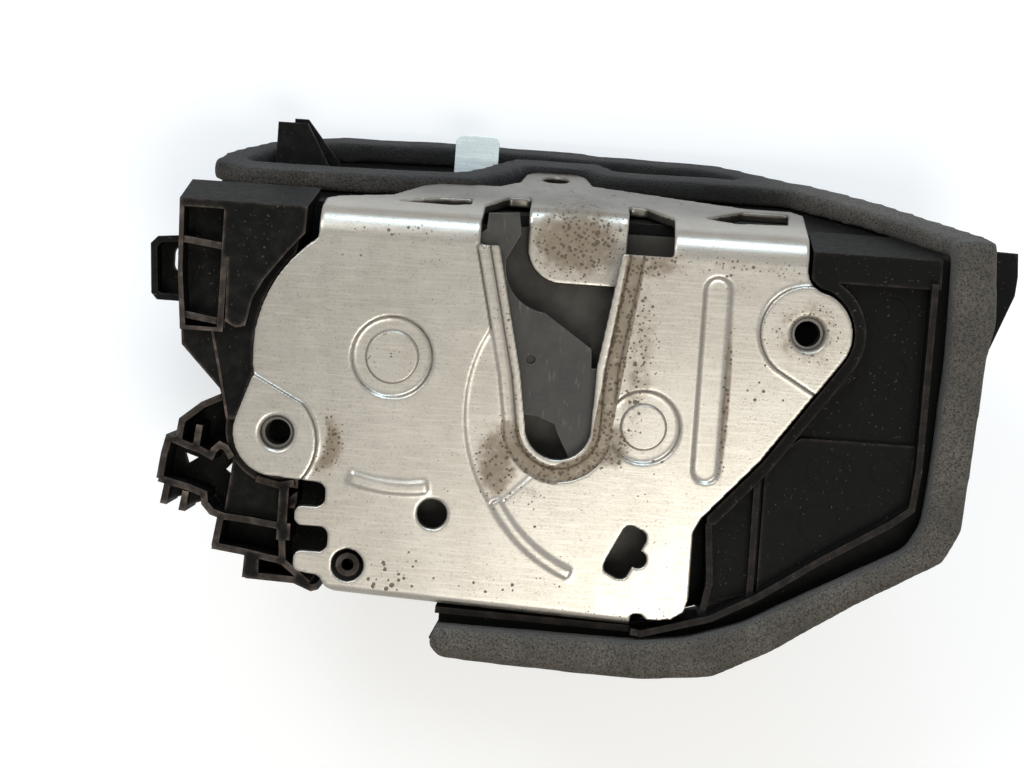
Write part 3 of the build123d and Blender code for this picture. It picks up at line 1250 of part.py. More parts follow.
def make_screws(places, seat_y, reach, thread_r, towards):
    """Flat-head screws on a seat: towards is 1 for heads at the back of it and -1 for heads at the front."""
    with BuildPart() as screws:
        with BuildSketch(layer(seat_y)):
            with Locations(*places):
                Circle(thread_r)
        extrude(amount=towards * reach)
        with BuildSketch(layer(seat_y)):
            with Locations(*places):
                Circle(3.0)
        extrude(amount=-towards * 2.0)
        with BuildSketch(layer(seat_y + towards * 1.0)):
            with Locations(*places):
                RegularPolygon(1.3, 6)
        extrude(amount=-towards * 2.0, mode=Mode.SUBTRACT)
    return screws


cover_screws = make_screws(COVER_SCREWS, BOX_BACK + COVER_T, 10.0, 1.15, 1)
save(cover_screws, "cover_screws")
back_screws = make_screws(BACK_SCREWS, BACK_PLATE_FRONT, 4.6, SCREW_R, -1)
save(back_screws, "back_screws")

with BuildPart() as connector_terminals:
    with BuildSketch(layer(BOX_BACK + COVER_T + 7)):
        with Locations(CONNECTOR):
            with GridLocations(TERMINAL_PITCH, 1, TERMINALS, 1):
                Rectangle(0.9, 0.9)
    extrude(amount=COVER_T + 7 + 3)
save(connector_terminals, "connector_terminals")

# ---------------------------------------------------------------- small pieces on the back plate
BUMPER = (-31.5, 31.8)
SWITCH = (-50.5, 12.0)

with BuildPart() as claw_bumper:
    with BuildSketch(layer(BACK_PLATE_FRONT)):
        with Locations(BUMPER):
            Circle(3.0)
    extrude(amount=BACK_PLATE_FRONT - CLAW_FRONT - 1)
    chamfer(claw_bumper.edges().group_by(Axis.Y)[0], length=0.6)
save(claw_bumper, "claw_bumper")

with BuildPart() as claw_switch:
    with BuildSketch(layer(BACK_PLATE_FRONT)):
        with Locations(SWITCH):
            Rectangle(6.0, 12.0)
    extrude(amount=6.0)
    with BuildSketch(Plane.YZ.offset(SWITCH[0] + 3)):
        with Locations((BACK_PLATE_FRONT - 3, SWITCH[1] + 2)):
            Rectangle(2.0, 2.0)
    extrude(amount=0.8)
save(claw_switch, "claw_switch")
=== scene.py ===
"""Looks for the door latch: camera, soft light, worn zinc, moulded plastic and foam, all procedural."""

import math

import bmesh
import bpy
from mathutils import Matrix, Vector, noise


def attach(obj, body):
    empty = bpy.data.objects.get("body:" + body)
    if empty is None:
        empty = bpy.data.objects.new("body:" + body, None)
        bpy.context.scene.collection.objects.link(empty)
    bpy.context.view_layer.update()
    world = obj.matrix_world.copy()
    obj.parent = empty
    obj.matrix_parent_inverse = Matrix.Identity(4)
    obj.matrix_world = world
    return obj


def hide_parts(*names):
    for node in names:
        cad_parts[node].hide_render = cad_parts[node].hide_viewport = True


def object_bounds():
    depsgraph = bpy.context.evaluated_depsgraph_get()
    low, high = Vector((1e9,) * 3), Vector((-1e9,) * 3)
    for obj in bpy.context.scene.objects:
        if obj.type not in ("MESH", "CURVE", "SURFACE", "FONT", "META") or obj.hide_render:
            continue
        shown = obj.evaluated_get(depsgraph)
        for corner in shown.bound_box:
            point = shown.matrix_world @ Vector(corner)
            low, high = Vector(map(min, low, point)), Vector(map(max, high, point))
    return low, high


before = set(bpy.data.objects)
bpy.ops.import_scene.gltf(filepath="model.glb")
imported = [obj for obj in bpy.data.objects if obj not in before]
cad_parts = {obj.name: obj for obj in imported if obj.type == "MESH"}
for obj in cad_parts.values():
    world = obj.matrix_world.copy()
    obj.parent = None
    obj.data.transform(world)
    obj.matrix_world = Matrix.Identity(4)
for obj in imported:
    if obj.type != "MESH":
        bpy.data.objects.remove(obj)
cad_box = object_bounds()
MM = 0.001


# ---------------------------------------------------------------- procedural materials
class Look:
    """One node material, built from small named steps. Lengths are in millimetres of object space."""

    SOCKETS = {"base": "Base Color", "rough": "Roughness", "metal": "Metallic", "bump": "Normal",
               "specular": "Specular IOR Level", "sheen": "Sheen Weight"}
    RAY_SAMPLES = 6  # of each bevel and occlusion step
    MM_PER_METRE = 1000.0

    def __init__(self, name):
        self.material = bpy.data.materials.new(name)
        self.material.use_nodes = True
        self.nodes = self.material.node_tree.nodes
        self.links = self.material.node_tree.links
        self.shader = self.nodes["Principled BSDF"]
        place = self.nodes.new("ShaderNodeTexCoord")
        self.place = self.vector("SCALE", place.outputs["Object"], scale=self.MM_PER_METRE)

    def feed(self, socket, value):
        """Link a socket to another step's output, or set its number or colour."""
        if isinstance(value, bpy.types.NodeSocket):
            self.links.new(value, socket)
        elif value is not None:
            socket.default_value = value

    def set(self, **values):
        """Feed the shader's sockets and return the finished material."""
        for key, value in values.items():
            self.feed(self.shader.inputs[self.SOCKETS[key]], value)
        return self.material

    # ---- arithmetic
    def math(self, operation, a, b=None):
        step = self.nodes.new("ShaderNodeMath")
        step.operation = operation
        for socket, value in zip(step.inputs, (a, b)):
            self.feed(socket, value)
        return step.outputs[0]

    def chain(self, operation, first, *others):
        for other in others:
            first = self.math(operation, first, other)
        return first

    def times(self, *factors):
        return self.chain("MULTIPLY", *factors)

    def plus(self, *terms):
        return self.chain("ADD", *terms)

    def minus(self, *terms):
        return self.chain("SUBTRACT", *terms)

    def most(self, *values):
        return self.chain("MAXIMUM", *values)

    def off(self, value, target):
        """How far a value is from a target, either way."""
        return self.math("ABSOLUTE", self.minus(value, target))

    def span(self, low, high, amount):
        """A number between low and high."""
        return self.plus(self.times(amount, high - low), low)

    def rise(self, value, low, high):
        """0 below low, 1 above high, smooth between; low may be the larger."""
        step = self.nodes.new("ShaderNodeMapRange")
        step.interpolation_type = "SMOOTHSTEP"
        self.feed(step.inputs["Value"], value)
        step.inputs["From Min"].default_value = low
        step.inputs["From Max"].default_value = high
        return step.outputs["Result"]

    def blend(self, a, b, amount):
        """A colour between two colours."""
        step = self.nodes.new("ShaderNodeMix")
        step.data_type = "RGBA"
        factor, first, second = step.inputs[0], step.inputs[6], step.inputs[7]
        self.feed(first, a if isinstance(a, bpy.types.NodeSocket) else (*a, 1))
        self.feed(second, b if isinstance(b, bpy.types.NodeSocket) else (*b, 1))
        self.feed(factor, amount)
        return step.outputs[2]

    # ---- places
    def vector(self, operation, a, b=None, scale=None, out="Vector"):
        step = self.nodes.new("ShaderNodeVectorMath")
        step.operation = operation
        self.feed(step.inputs[0], a)
        self.feed(step.inputs[1], b)
        if scale is not None:
            step.inputs["Scale"].default_value = scale
        return step.outputs[out]

    def xyz(self, source=None):
        step = self.nodes.new("ShaderNodeSeparateXYZ")
        self.feed(step.inputs[0], source or self.place)
        return step.outputs

    def away(self, x, z, wide=1.0, high=1.0):
        """Distance in the front view from a place, in half widths and half heights."""
        moved = self.vector("SUBTRACT", self.place, (x, 0, z))
        moved = self.vector("MULTIPLY", moved, (1 / wide, 0, 1 / high))
        return self.vector("LENGTH", moved, out="Value")

    def patches(self, table):
        """Soft round patches; each row is x, z, half width, half height, strength."""
        FADED, FULL = 1.25, 0.35
        total = 0.0
        for x, z, wide, high, strength in table:
            patch = self.times(self.rise(self.away(x, z, wide, high), FADED, FULL), strength)
            total = self.most(patch, total)
        return total

    # ---- textures
    def noise(self, size, detail=3.0, stretch=(1, 1, 1), rough=0.55, seed=0.0):
        """Noise whose grain is about size millimetres."""
        moved = self.vector("MULTIPLY", self.place, tuple(stretch))
        moved = self.vector("ADD", moved, (seed, seed * 0.7, seed * 1.3))
        step = self.nodes.new("ShaderNodeTexNoise")
        self.feed(step.inputs["Vector"], moved)
        step.inputs["Scale"].default_value = 1.0 / size
        step.inputs["Detail"].default_value = detail
        step.inputs["Roughness"].default_value = rough
        return step.outputs["Fac"]

    def cells(self, size, seed=0.0):
        """Distance to scattered points about size millimetres apart, in cell widths."""
        step = self.nodes.new("ShaderNodeTexVoronoi")
        self.feed(step.inputs["Vector"], self.vector("ADD", self.place, (seed, seed, seed)))
        step.inputs["Scale"].default_value = 1.0 / size
        return step.outputs["Distance"]

    def dots(self, size, seed, extra, spread, least):
        """Round dots about size millimetres apart. Radii are in cell widths and differ by spread."""
        OUTSIDE, INSIDE = 0.13, 0.04
        uneven = self.minus(self.noise(size * 2.2, detail=1, seed=seed + 5), 0.5)
        reach = self.plus(self.times(uneven, spread), extra, least)
        ragged = self.times(self.noise(size * 0.3, detail=2, seed=seed + 9), 0.12)
        return self.rise(self.minus(self.plus(self.cells(size, seed), ragged), reach), OUTSIDE, INSIDE)

    # ---- the shape of the surface
    def facing(self, axis):
        """How far the surface faces along an axis, -1 to 1."""
        step = self.nodes.new("ShaderNodeNewGeometry")
        return self.xyz(step.outputs["Normal"])[axis]

    def rounded(self, radius):
        """The normal as if the edges were rounded to a radius."""
        step = self.nodes.new("ShaderNodeBevel")
        step.samples = self.RAY_SAMPLES
        step.inputs["Radius"].default_value = radius * MM
        return step.outputs["Normal"]

    def edge(self, radius):
        """1 on flat surface, less near an edge."""
        step = self.nodes.new("ShaderNodeNewGeometry")
        return self.vector("DOT_PRODUCT", step.outputs["Normal"], self.rounded(radius), out="Value")

    def hollow(self, reach, within=False):
        """1 in the open, less in creases within reach millimetres; from within, less where it is thin."""
        step = self.nodes.new("ShaderNodeAmbientOcclusion")
        step.samples = self.RAY_SAMPLES
        step.only_local = True
        step.inside = within
        step.inputs["Distance"].default_value = reach * MM
        return step.outputs["AO"]

    def bump(self, height, strength, depth, radius=None):
        """Bump of depth millimetres, over edges rounded to a radius."""
        step = self.nodes.new("ShaderNodeBump")
        self.feed(step.inputs["Height"], height)
        step.inputs["Strength"].default_value = strength
        step.inputs["Distance"].default_value = depth * MM
        if radius:
            self.feed(step.inputs["Normal"], self.rounded(radius))
        return step.outputs["Normal"]


def shade(colour, amount):
    """A colour made darker or lighter."""
    return tuple(amount * channel for channel in colour)


# Colours, each pair light and dark
WORN_ZINC = ((0.335, 0.312, 0.274), (0.265, 0.243, 0.206))
BRIGHT_ZINC = ((0.58, 0.66, 0.67), (0.46, 0.52, 0.53))
CLEAN_ZINC = ((0.50, 0.48, 0.43), (0.34, 0.32, 0.28))
GREY_FOAM = ((0.138, 0.122, 0.102), (0.046, 0.041, 0.036))
JACKET_GREY = ((0.040, 0.036, 0.030), (0.024, 0.022, 0.019))
THREAD_GREY = ((0.42, 0.40, 0.36), (0.10, 0.095, 0.085))
OILY_AND_SHADED_FLANGE = (0.080, 0.070, 0.057)
BROWN_GRIME_AND_SHADE = (0.155, 0.115, 0.072)
RUST_PIT = (0.060, 0.044, 0.028)
STEEL, DARK_STEEL, BRASS = (0.50, 0.49, 0.47), (0.040, 0.037, 0.032), (0.72, 0.55, 0.26)
BLACK_PLASTIC, DUSTY_AND_LIT_RIM, PALE_FLECK = (0.0044, 0.0042, 0.0038), (0.190, 0.145, 0.120), (0.12, 0.10, 0.085)
BLACK_RUBBER, RUBBER_RIM = (0.010, 0.010, 0.010), (0.016, 0.015, 0.015)
FOAM_PORE, SHADED_FOAM = (0.012, 0.011, 0.010), (0.011, 0.011, 0.012)
JACKET_RUB, JACKET_RIM = (0.17, 0.155, 0.125), (0.26, 0.235, 0.19)
ACETAL = (0.74, 0.72, 0.64)

# Grime on the plate as the photograph shows it, and in one row painted shade: middle x, middle z, half width,
# half height, strength.
GRIME_AND_SHADE_PATCHES = (
    (-45.0, -6.5, 5.0, 7.5, 0.95),   # beside the left bolt pad
    (-11.5, -7.5, 5.0, 9.0, 0.90),   # sunk field left of the slot
    (-6.5, -13.5, 6.5, 3.0, 0.40),   # under the slot
    (14.5, 16.0, 4.4, 19.0, 0.55),   # right of the slot
    (16.0, 33.0, 8.0, 4.5, 0.80),    # top of the slot's right side
    # painted shade: the darker band under the right bend, the bend's own shading, is painted as a film
    (33.0, 33.4, 14.0, 1.8, 0.42),   # under the right bend
    (-31.0, 35.4, 16.0, 1.4, 0.34),  # under the left bend
    (10.0, -3.0, 5.0, 6.0, 0.85),    # left of the pawl's pin
    (-13.5, 35.0, 5.0, 5.0, 0.55),   # top of the slot's left side
    (46.4, 21.5, 8.6, 8.6, 0.55),    # round the right bolt
    (31.8, 8.0, 0.9, 18.0, 0.90),    # right edge of the upright bead
    (-33.2, 11.5, 6.2, 6.2, 0.30),   # dish of the claw's pin
    (1.0, 36.0, 11.0, 9.0, 0.95),    # guard tab
    (-5.0, -36.0, 40.0, 1.6, 0.35),  # folded lower edge
)
# Rust pits on the plate, in the same form.
SPOTS = (
    (-26.5, -30.0, 11.0, 5.5, 1.0),  # lower left
    (-35.0, -33.0, 10.0, 3.0, 0.9),
    (-10.0, -30.0, 9.0, 5.0, 0.7),
    (2.5, -25.5, 3.0, 2.2, 0.9),     # ends of the long curved bead
    (-2.8, -19.5, 2.0, 1.6, 0.9),
    (38.0, 10.0, 7.0, 8.0, 0.8),     # between the upright bead and the right pad
    (20.5, -6.5, 4.5, 2.6, 0.9),     # pawl's pin
    (14.5, 14.0, 5.0, 20.0, 0.9),    # right of the slot
    (2.0, 38.0, 11.0, 9.0, 1.0),     # guard tab
    (-36.0, 30.0, 14.0, 8.0, 0.35),  # upper left
    (-32.0, 35.2, 16.0, 2.6, 0.9),   # under the left bend
    (33.0, 33.0, 14.0, 3.0, 1.0),    # under the right bend
    (46.4, 21.5, 8.0, 8.0, 0.7),     # round the right bolt
    (0.0, 46.0, 45.0, 5.0, 0.55),    # top flange
)
# The left pad is clean: x, z, and the radii at which grime starts and is full.
CLEAN_PAD = (-54.0, -4.9, 8.6, 10.2)
# Plain rounds left by the ejector pins of the housing: x, z and radius.
EJECTOR_MARKS = (
    (-56.9, 33.7, 1.7), (-62.7, 21.0, 1.7), (-69.6, 23.5, 3.2), (-60.5, -17.7, 1.7), (52.3, -5.2, 3.8),
    (51.8, -15.3, 3.9), (63.5, -4.2, 2.7), (59.8, 10.8, 3.8), (64.3, 15.6, 2.2), (62.9, 26.0, 3.4),
)
# The slot in the plate: its middle line leans, its sides flare, and a band with two creases goes round it.
SLOT_LEAN = 0.058
SLOT_FLARES = (0.09, 0.186)      # left, right
INNER_CREASE, OUTER_CREASE = 8.0, 10.8
RIGHT_SIDE_NEARER = 0.8          # the creases are nearer to the middle line on the right
THREAD_PITCH = 1.0


def slot_grime_and_shade(look, x, z):
    """Brown grime in the band that is pressed round the slot, and dark creases each side of it that are
    painted shade, heavier to the right and below.
    """
    from_middle = look.plus(x, look.times(z, SLOT_LEAN))
    right = look.rise(from_middle, -1.0, 1.0)
    below, above = look.math("MINIMUM", z, 0.0), look.math("MAXIMUM", z, 0.0)
    away = look.math("SQRT", look.plus(look.times(from_middle, from_middle), look.times(below, below)))
    flare = look.times(look.span(*SLOT_FLARES, right), above)
    away = look.plus(look.minus(away, flare), look.times(right, RIGHT_SIDE_NEARER))
    heavy = look.most(right, look.rise(z, 3.0, -3.0))
    # painted shade: the two crease lines are darkened as the shade in a step would be
    inner = look.rise(look.off(away, INNER_CREASE), 0.75, 0.25)
    outer = look.rise(look.off(away, OUTER_CREASE), 0.70, 0.20)
    band = look.times(look.rise(away, INNER_CREASE - 0.4, INNER_CREASE + 0.3),
                      look.rise(away, OUTER_CREASE + 0.3, OUTER_CREASE - 0.5))
    total = look.most(look.times(band, look.span(0.34, 0.92, heavy)),
                      look.times(inner, look.span(0.50, 1.25, heavy)),
                      look.times(outer, look.span(0.20, 1.10, heavy)))
    top_end = look.rise(z, 36.0, 33.0)
    return look.times(total, top_end)


def worn_zinc(name, tones=WORN_ZINC, grime=True, radius=0.3, shine=0.95):
    """Zinc-plated sheet: drawn grain, mottling, dark specks, and brown grime in creases and by the slot,
    mixed with painted shade in those creases, under the right bend and on the flange.
    """
    look = Look(name)
    light, dark = tones
    x, y, z = look.xyz()
    mottle = look.rise(look.noise(13.0, detail=4), 0.34, 0.68)
    micro = look.noise(0.42, detail=2, seed=4)
    drawn = look.noise(0.45, detail=3, stretch=(0.06, 1, 1), seed=9)
    colour = look.blend(dark, light, look.span(0.5, 1.0, mottle))
    colour = look.blend(colour, shade(dark, 0.62), look.times(look.rise(micro, 0.54, 0.72), 0.45))
    colour = look.blend(colour, shade(light, 1.18), look.times(look.rise(drawn, 0.46, 0.66), 0.45))
    dirt_and_shade, pits = 0.0, 0.0
    if grime:
        pad_x, pad_z, pad_r, dirty_r = CLEAN_PAD
        dirt_and_shade = look.times(look.patches(GRIME_AND_SHADE_PATCHES), look.rise(look.away(pad_x, pad_z), pad_r, dirty_r))
        dirt_and_shade = look.most(dirt_and_shade, slot_grime_and_shade(look, x, z))
        pits = look.patches(SPOTS)
        # painted shade with oil: the flange faces back and up, away from the lamps, and is darkened as well
        # as oily
        flange = look.times(look.rise(y, 1.2, 3.6), look.rise(z, 40.0, 44.0))
        colour = look.blend(colour, OILY_AND_SHADED_FLANGE, look.times(flange, look.span(0.70, 1.0, mottle)))
    # painted shade with grime: creases found by occlusion are browned where shade falls in them
    creases = look.rise(look.hollow(1.6), 0.80, 0.45)
    ragged = look.noise(2.2, detail=5, rough=0.7, seed=51)
    # the brown film is grime and painted shade: the patches, the slot's creases and the occluded creases
    film = look.plus(look.times(dirt_and_shade, 0.62), look.times(creases, 0.34), look.times(ragged, 0.80))
    film = look.rise(film, 0.52, 1.05)
    colour = look.blend(colour, BROWN_GRIME_AND_SHADE, look.times(film, 0.88))
    small = look.dots(0.85, seed=21, extra=look.times(dirt_and_shade, 0.34), spread=0.55, least=0.015)
    large = look.dots(1.45, seed=33, extra=look.times(pits, 0.36), spread=0.95, least=-0.17)
    dots = look.most(small, large)
    colour = look.blend(colour, RUST_PIT, look.times(dots, 0.82))
    soiled = look.most(dots, film)
    rough = look.plus(look.span(0.25, 0.37, look.noise(2.5, seed=70)), look.times(soiled, 0.30))
    metal = look.minus(shine, look.times(soiled, 0.5))
    height = look.minus(look.plus(look.times(micro, 0.5), look.times(drawn, 0.5)), look.times(dots, 0.7))
    return look.set(base=colour, rough=rough, metal=metal, bump=look.bump(height, 0.30, 0.05, radius))


def plain_steel(name, tone=STEEL, roughness=(0.28, 0.42), radius=0.15):
    """Turned or stamped steel with faint scratches."""
    look = Look(name)
    scratch = look.noise(0.3, detail=4, stretch=(0.15, 1, 1), seed=3)
    cloud = look.rise(look.noise(4.0, seed=8), 0.3, 0.7)
    return look.set(base=look.blend(shade(tone, 0.72), tone, cloud), rough=look.span(*roughness, scratch),
                    metal=0.9, bump=look.bump(scratch, 0.25, 0.04, radius))


def moulded(name, deep=BLACK_PLASTIC, edge=DUSTY_AND_LIT_RIM, radius=0.25, marks=()):
    """Dark moulded plastic, dusty brown on rims that face forward, with a painted highlight there and on its
    edges; front faces are painted lighter as if lit, more to the left; with the rounds of its ejector pins.
    """
    look = Look(name)
    x, y, _ = look.xyz()
    dust = look.rise(look.noise(2.4, detail=5, seed=12), 0.40, 0.72)
    # wear with a painted highlight: outer edges, not creases, are made pale
    worn_and_lit_edges = look.times(look.rise(look.edge(0.5), 0.985, 0.80), look.rise(look.hollow(0.8), 0.55, 0.85))
    # painted light with dust: forward faces near the plate, on thin rims and more to the left, are made pale
    # as if lit
    front = look.rise(look.facing(1), -0.7, -0.95)
    near_the_plate = look.rise(y, 12.0, 8.0)
    thin = look.rise(look.hollow(1.3, within=True), 0.72, 0.45)
    left = look.span(0.30, 1.0, look.rise(x, -30.0, -48.0))
    rims = look.times(front, near_the_plate, thin, left)
    pale = look.times(look.most(rims, look.times(worn_and_lit_edges, 0.30)), look.span(0.35, 1.0, dust))
    # painted light with dust: front faces are lighter, more to the left, where the light falls
    dusty_and_lit_front = look.times(dust, front, look.rise(x, 10.0, -60.0))
    colour = look.blend(deep, shade(deep, 2.4), dusty_and_lit_front)
    colour = look.blend(colour, edge, look.times(pale, 0.8))
    fleck = look.rise(look.noise(0.6, detail=1, seed=40), 0.71, 0.75)
    colour = look.blend(colour, PALE_FLECK, look.times(fleck, 0.4))
    height = look.times(look.noise(0.25, detail=2, seed=2), 0.35)
    for mark_x, mark_z, mark_r in marks:
        ring = look.rise(look.off(look.away(mark_x, mark_z), mark_r), 0.34, 0.10)
        height = look.minus(height, look.times(ring, 2.2))
    rough = look.span(0.42, 0.62, look.noise(1.6, seed=18))
    return look.set(base=colour, rough=rough, specular=0.05, bump=look.bump(height, 0.35, 0.07, radius))


def foam_skin(name):
    """Open-cell sealing foam, grey-brown, soft and rough, and darker in the loop on top."""
    look = Look(name)
    light, dark = GREY_FOAM
    x, _, z = look.xyz()
    cloud = look.span(0.55, 1.0, look.rise(look.noise(9.0, seed=5), 0.34, 0.68))
    pores = look.rise(look.cells(0.62, seed=3), 0.08, 0.5)
    fine = look.noise(0.30, rough=0.7, seed=7)
    colour = look.blend(dark, light, look.times(cloud, look.rise(fine, 0.32, 0.66)))
    colour = look.blend(FOAM_PORE, colour, look.span(0.4, 1.0, pores))
    loop = look.times(look.rise(z, 44.0, 48.0), look.rise(x, 52.0, 34.0))
    colour = look.blend(colour, SHADED_FOAM, look.times(loop, 0.80))
    height = look.plus(look.times(pores, 0.5), look.times(fine, 0.9))
    return look.set(base=colour, rough=0.95, specular=0.12, sheen=0.10, bump=look.bump(height, 0.9, 0.28))


def greasy_jacket(name):
    """The claw's plastic jacket, grey-brown and scratched, with a film of grease."""
    look = Look(name)
    light, dark = JACKET_GREY
    film = look.rise(look.noise(5.0, detail=4, seed=31), 0.40, 0.65)
    rub = look.rise(look.noise(0.5, detail=4, stretch=(1, 1, 0.16), seed=14), 0.60, 0.72)
    rim = look.rise(look.edge(0.6), 0.98, 0.80)
    colour = look.blend(look.blend(dark, light, film), JACKET_RUB, look.times(rub, 0.35))
    colour = look.blend(colour, JACKET_RIM, look.times(rim, look.span(0.15, 0.9, rub)))
    return look.set(base=colour, rough=look.span(0.36, 0.55, film), specular=0.3,
                    bump=look.bump(look.noise(0.8), 0.3, 0.08, 0.3))


def threaded(name):
    """Zinc-plated nut; the pitch of its thread shows on the walls of its bore, in bumps and in a painted
    highlight on the crests and painted shade in the roots.
    """
    look = Look(name)
    light, dark = THREAD_GREY
    turns = look.math("PINGPONG", look.xyz()[1], THREAD_PITCH / 2)
    # painted highlight and shade: lighter on the thread's crests, darker in its roots
    tone = look.blend(dark, light, look.times(turns, 2 / THREAD_PITCH))
    return look.set(base=tone, rough=0.34, metal=0.9, bump=look.bump(turns, 0.8, 0.5))


def gear_plastic(name, tone=ACETAL):
    """Pale acetal for the gears."""
    look = Look(name)
    cloud = look.noise(3.0, detail=2, seed=6)
    return look.set(base=look.blend(shade(tone, 0.85), tone, cloud), rough=look.span(0.32, 0.45, cloud),
                    bump=look.bump(cloud, 0.1, 0.03, 0.12))


MATERIALS = {
    "plate": worn_zinc("worn_zinc_plate"),
    "lever": worn_zinc("galvanised_lever", BRIGHT_ZINC, grime=False, radius=0.2, shine=0.60),
    "inner_zinc": worn_zinc("zinc_inside", CLEAN_ZINC, grime=False, radius=0.25),
    "thread": threaded("threaded_zinc"),
    "steel": plain_steel("steel"),
    "dark_steel": plain_steel("dark_steel", DARK_STEEL, (0.40, 0.55)),
    "brass": plain_steel("brass", BRASS, (0.25, 0.38)),
    "plastic": moulded("moulded_black"),
    "housing": moulded("housing_black", marks=EJECTOR_MARKS),
    "jacket": greasy_jacket("claw_jacket_plastic"),
    "foam": foam_skin("foam"),
    "rubber": moulded("rubber", BLACK_RUBBER, RUBBER_RIM, 0.3),
    "gear": gear_plastic("acetal"),
}
NODE_LOOKS = {
    "latch_plate": "plate", "back_plate": "dark_steel", "claw_pin": "plate", "pawl_pin": "plate",
    "spacer_tube": "plastic", "weld_nuts": "thread", "latch_housing": "housing",
    "actuator_housing": "plastic", "actuator_cover": "plastic", "cover_screws": "steel",
    "back_screws": "steel", "seal_gasket": "foam",
    "motor": "inner_zinc", "motor_shaft": "steel", "motor_pinion": "brass", "idler_gear": "gear",
    "idler_axle": "steel", "inner_lever_pin": "steel", "release_pin": "steel", "connector_terminals": "brass",
    "claw_bumper": "rubber", "claw_switch": "plastic", "claw_spring": "steel", "pawl_spring": "steel",
    "claw_core": "dark_steel", "claw_jacket": "jacket", "pawl": "dark_steel", "release_lever": "inner_zinc",
    "inner_release_lever": "lever", "lock_lever": "gear", "lock_crank": "steel",
}


def paint(piece, look_name):
    """Give a piece one material of the table."""
    piece.data.materials.clear()
    piece.data.materials.append(MATERIALS[look_name])


for node_name, look_name in NODE_LOOKS.items():
    paint(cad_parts[node_name], look_name)


# ---------------------------------------------------------------- pieces with worn, rounded edges
WELD_DISTANCE = 1e-6
SEAL_VOXEL, SEAL_PASSES = 0.8, 10    # millimetres, and passes of smoothing
PLATE_VOXEL, PLATE_PASSES = 0.32, 4
WIDE_LUMPS, SMALL_LUMPS = (0.11, 0.12), (0.45, 0.05)  # per millimetre, and millimetres high
SMALL_LUMPS_START = Vector((7, 3, 1))
SEAL_SINK = 0.05


def copy_mesh(node_name, name):
    """A new object with a welded copy of a CAD node's mesh."""
    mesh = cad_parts[node_name].data.copy()
    mesh.name = name
    work = bmesh.new()
    work.from_mesh(mesh)
    bmesh.ops.remove_doubles(work, verts=work.verts, dist=WELD_DISTANCE)
    work.to_mesh(mesh)
    work.free()
    piece = bpy.data.objects.new(name, mesh)
    bpy.context.scene.collection.objects.link(piece)
    return piece


def apply_modifiers(piece):
    """Bake the modifiers of a piece into its mesh."""
    shaped = piece.evaluated_get(bpy.context.evaluated_depsgraph_get())
    mesh = bpy.data.meshes.new_from_object(shaped)
    piece.modifiers.clear()
    piece.data = mesh


def remeshed(node_name, name, voxel, passes):
    """A copy of a CAD node with its edges worn round."""
    piece = copy_mesh(node_name, name)
    remesh = piece.modifiers.new("grid", "REMESH")
    remesh.mode = "VOXEL"
    remesh.voxel_size = voxel * MM
    remesh.use_smooth_shade = True
    smooth = piece.modifiers.new("wear", "SMOOTH")
    smooth.factor = 0.5
    smooth.iterations = passes
    apply_modifiers(piece)
    piece.data.polygons.foreach_set("use_smooth", [True] * len(piece.data.polygons))
    return piece


seal = remeshed("seal_gasket", "foam_seal", SEAL_VOXEL, SEAL_PASSES)
for vertex in seal.data.vertices:
    spot = vertex.co / MM
    wide = noise.noise(spot * WIDE_LUMPS[0]) * WIDE_LUMPS[1]
    small = noise.noise(spot * SMALL_LUMPS[0] + SMALL_LUMPS_START) * SMALL_LUMPS[1]
    vertex.co += vertex.normal * (wide + small - SEAL_SINK) * MM
paint(seal, "foam")
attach(seal, "base")
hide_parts("seal_gasket")

plate = remeshed("latch_plate", "pressed_plate", PLATE_VOXEL, PLATE_PASSES)
paint(plate, "plate")
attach(plate, "base")
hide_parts("latch_plate")

# ---------------------------------------------------------------- camera, where the photograph's was
CAMERA_PLACE = Vector((3.14, -449.1, 31.2)) * MM
CAMERA_ASIDE = math.radians(1.6)  # the view turns left by this much
CAMERA_DOWN = math.radians(3.0)
CAMERA_ROLL = math.radians(4.0)
LENS, SENSOR = 82.3, 36.0
NEAREST = 0.01

forward = Vector((-math.sin(CAMERA_ASIDE) * math.cos(CAMERA_DOWN),
                  math.cos(CAMERA_ASIDE) * math.cos(CAMERA_DOWN), -math.sin(CAMERA_DOWN)))
level = Vector((math.cos(CAMERA_ASIDE), math.sin(CAMERA_ASIDE), 0))
upright = level.cross(forward)
right = level * math.cos(CAMERA_ROLL) + upright * math.sin(CAMERA_ROLL)
up = upright * math.cos(CAMERA_ROLL) - level * math.sin(CAMERA_ROLL)
camera_data = bpy.data.cameras.new("camera")
camera_data.lens = LENS
camera_data.sensor_width = SENSOR
camera_data.clip_start = NEAREST
camera = bpy.data.objects.new("camera", camera_data)
camera.matrix_world = Matrix.Translation(CAMERA_PLACE) @ Matrix((right, up, -forward)).transposed().to_4x4()
bpy.context.scene.collection.objects.link(camera)
bpy.context.scene.camera = camera

# ---------------------------------------------------------------- pale ground that the latch lies on
GROUND_GAP = 1.0 * MM
GROUND_LEFT, GROUND_RIGHT, GROUND_LOW, GROUND_HIGH = -0.30, 0.30, -0.26, 0.13
PAPER_COLOUR = (0.62, 0.62, 0.62, 1)
PAPER_GLOW = 0.44  # with the lamps' light this comes to white, and a little less in the latch's shadow
WHITE = (1, 1, 1, 1)

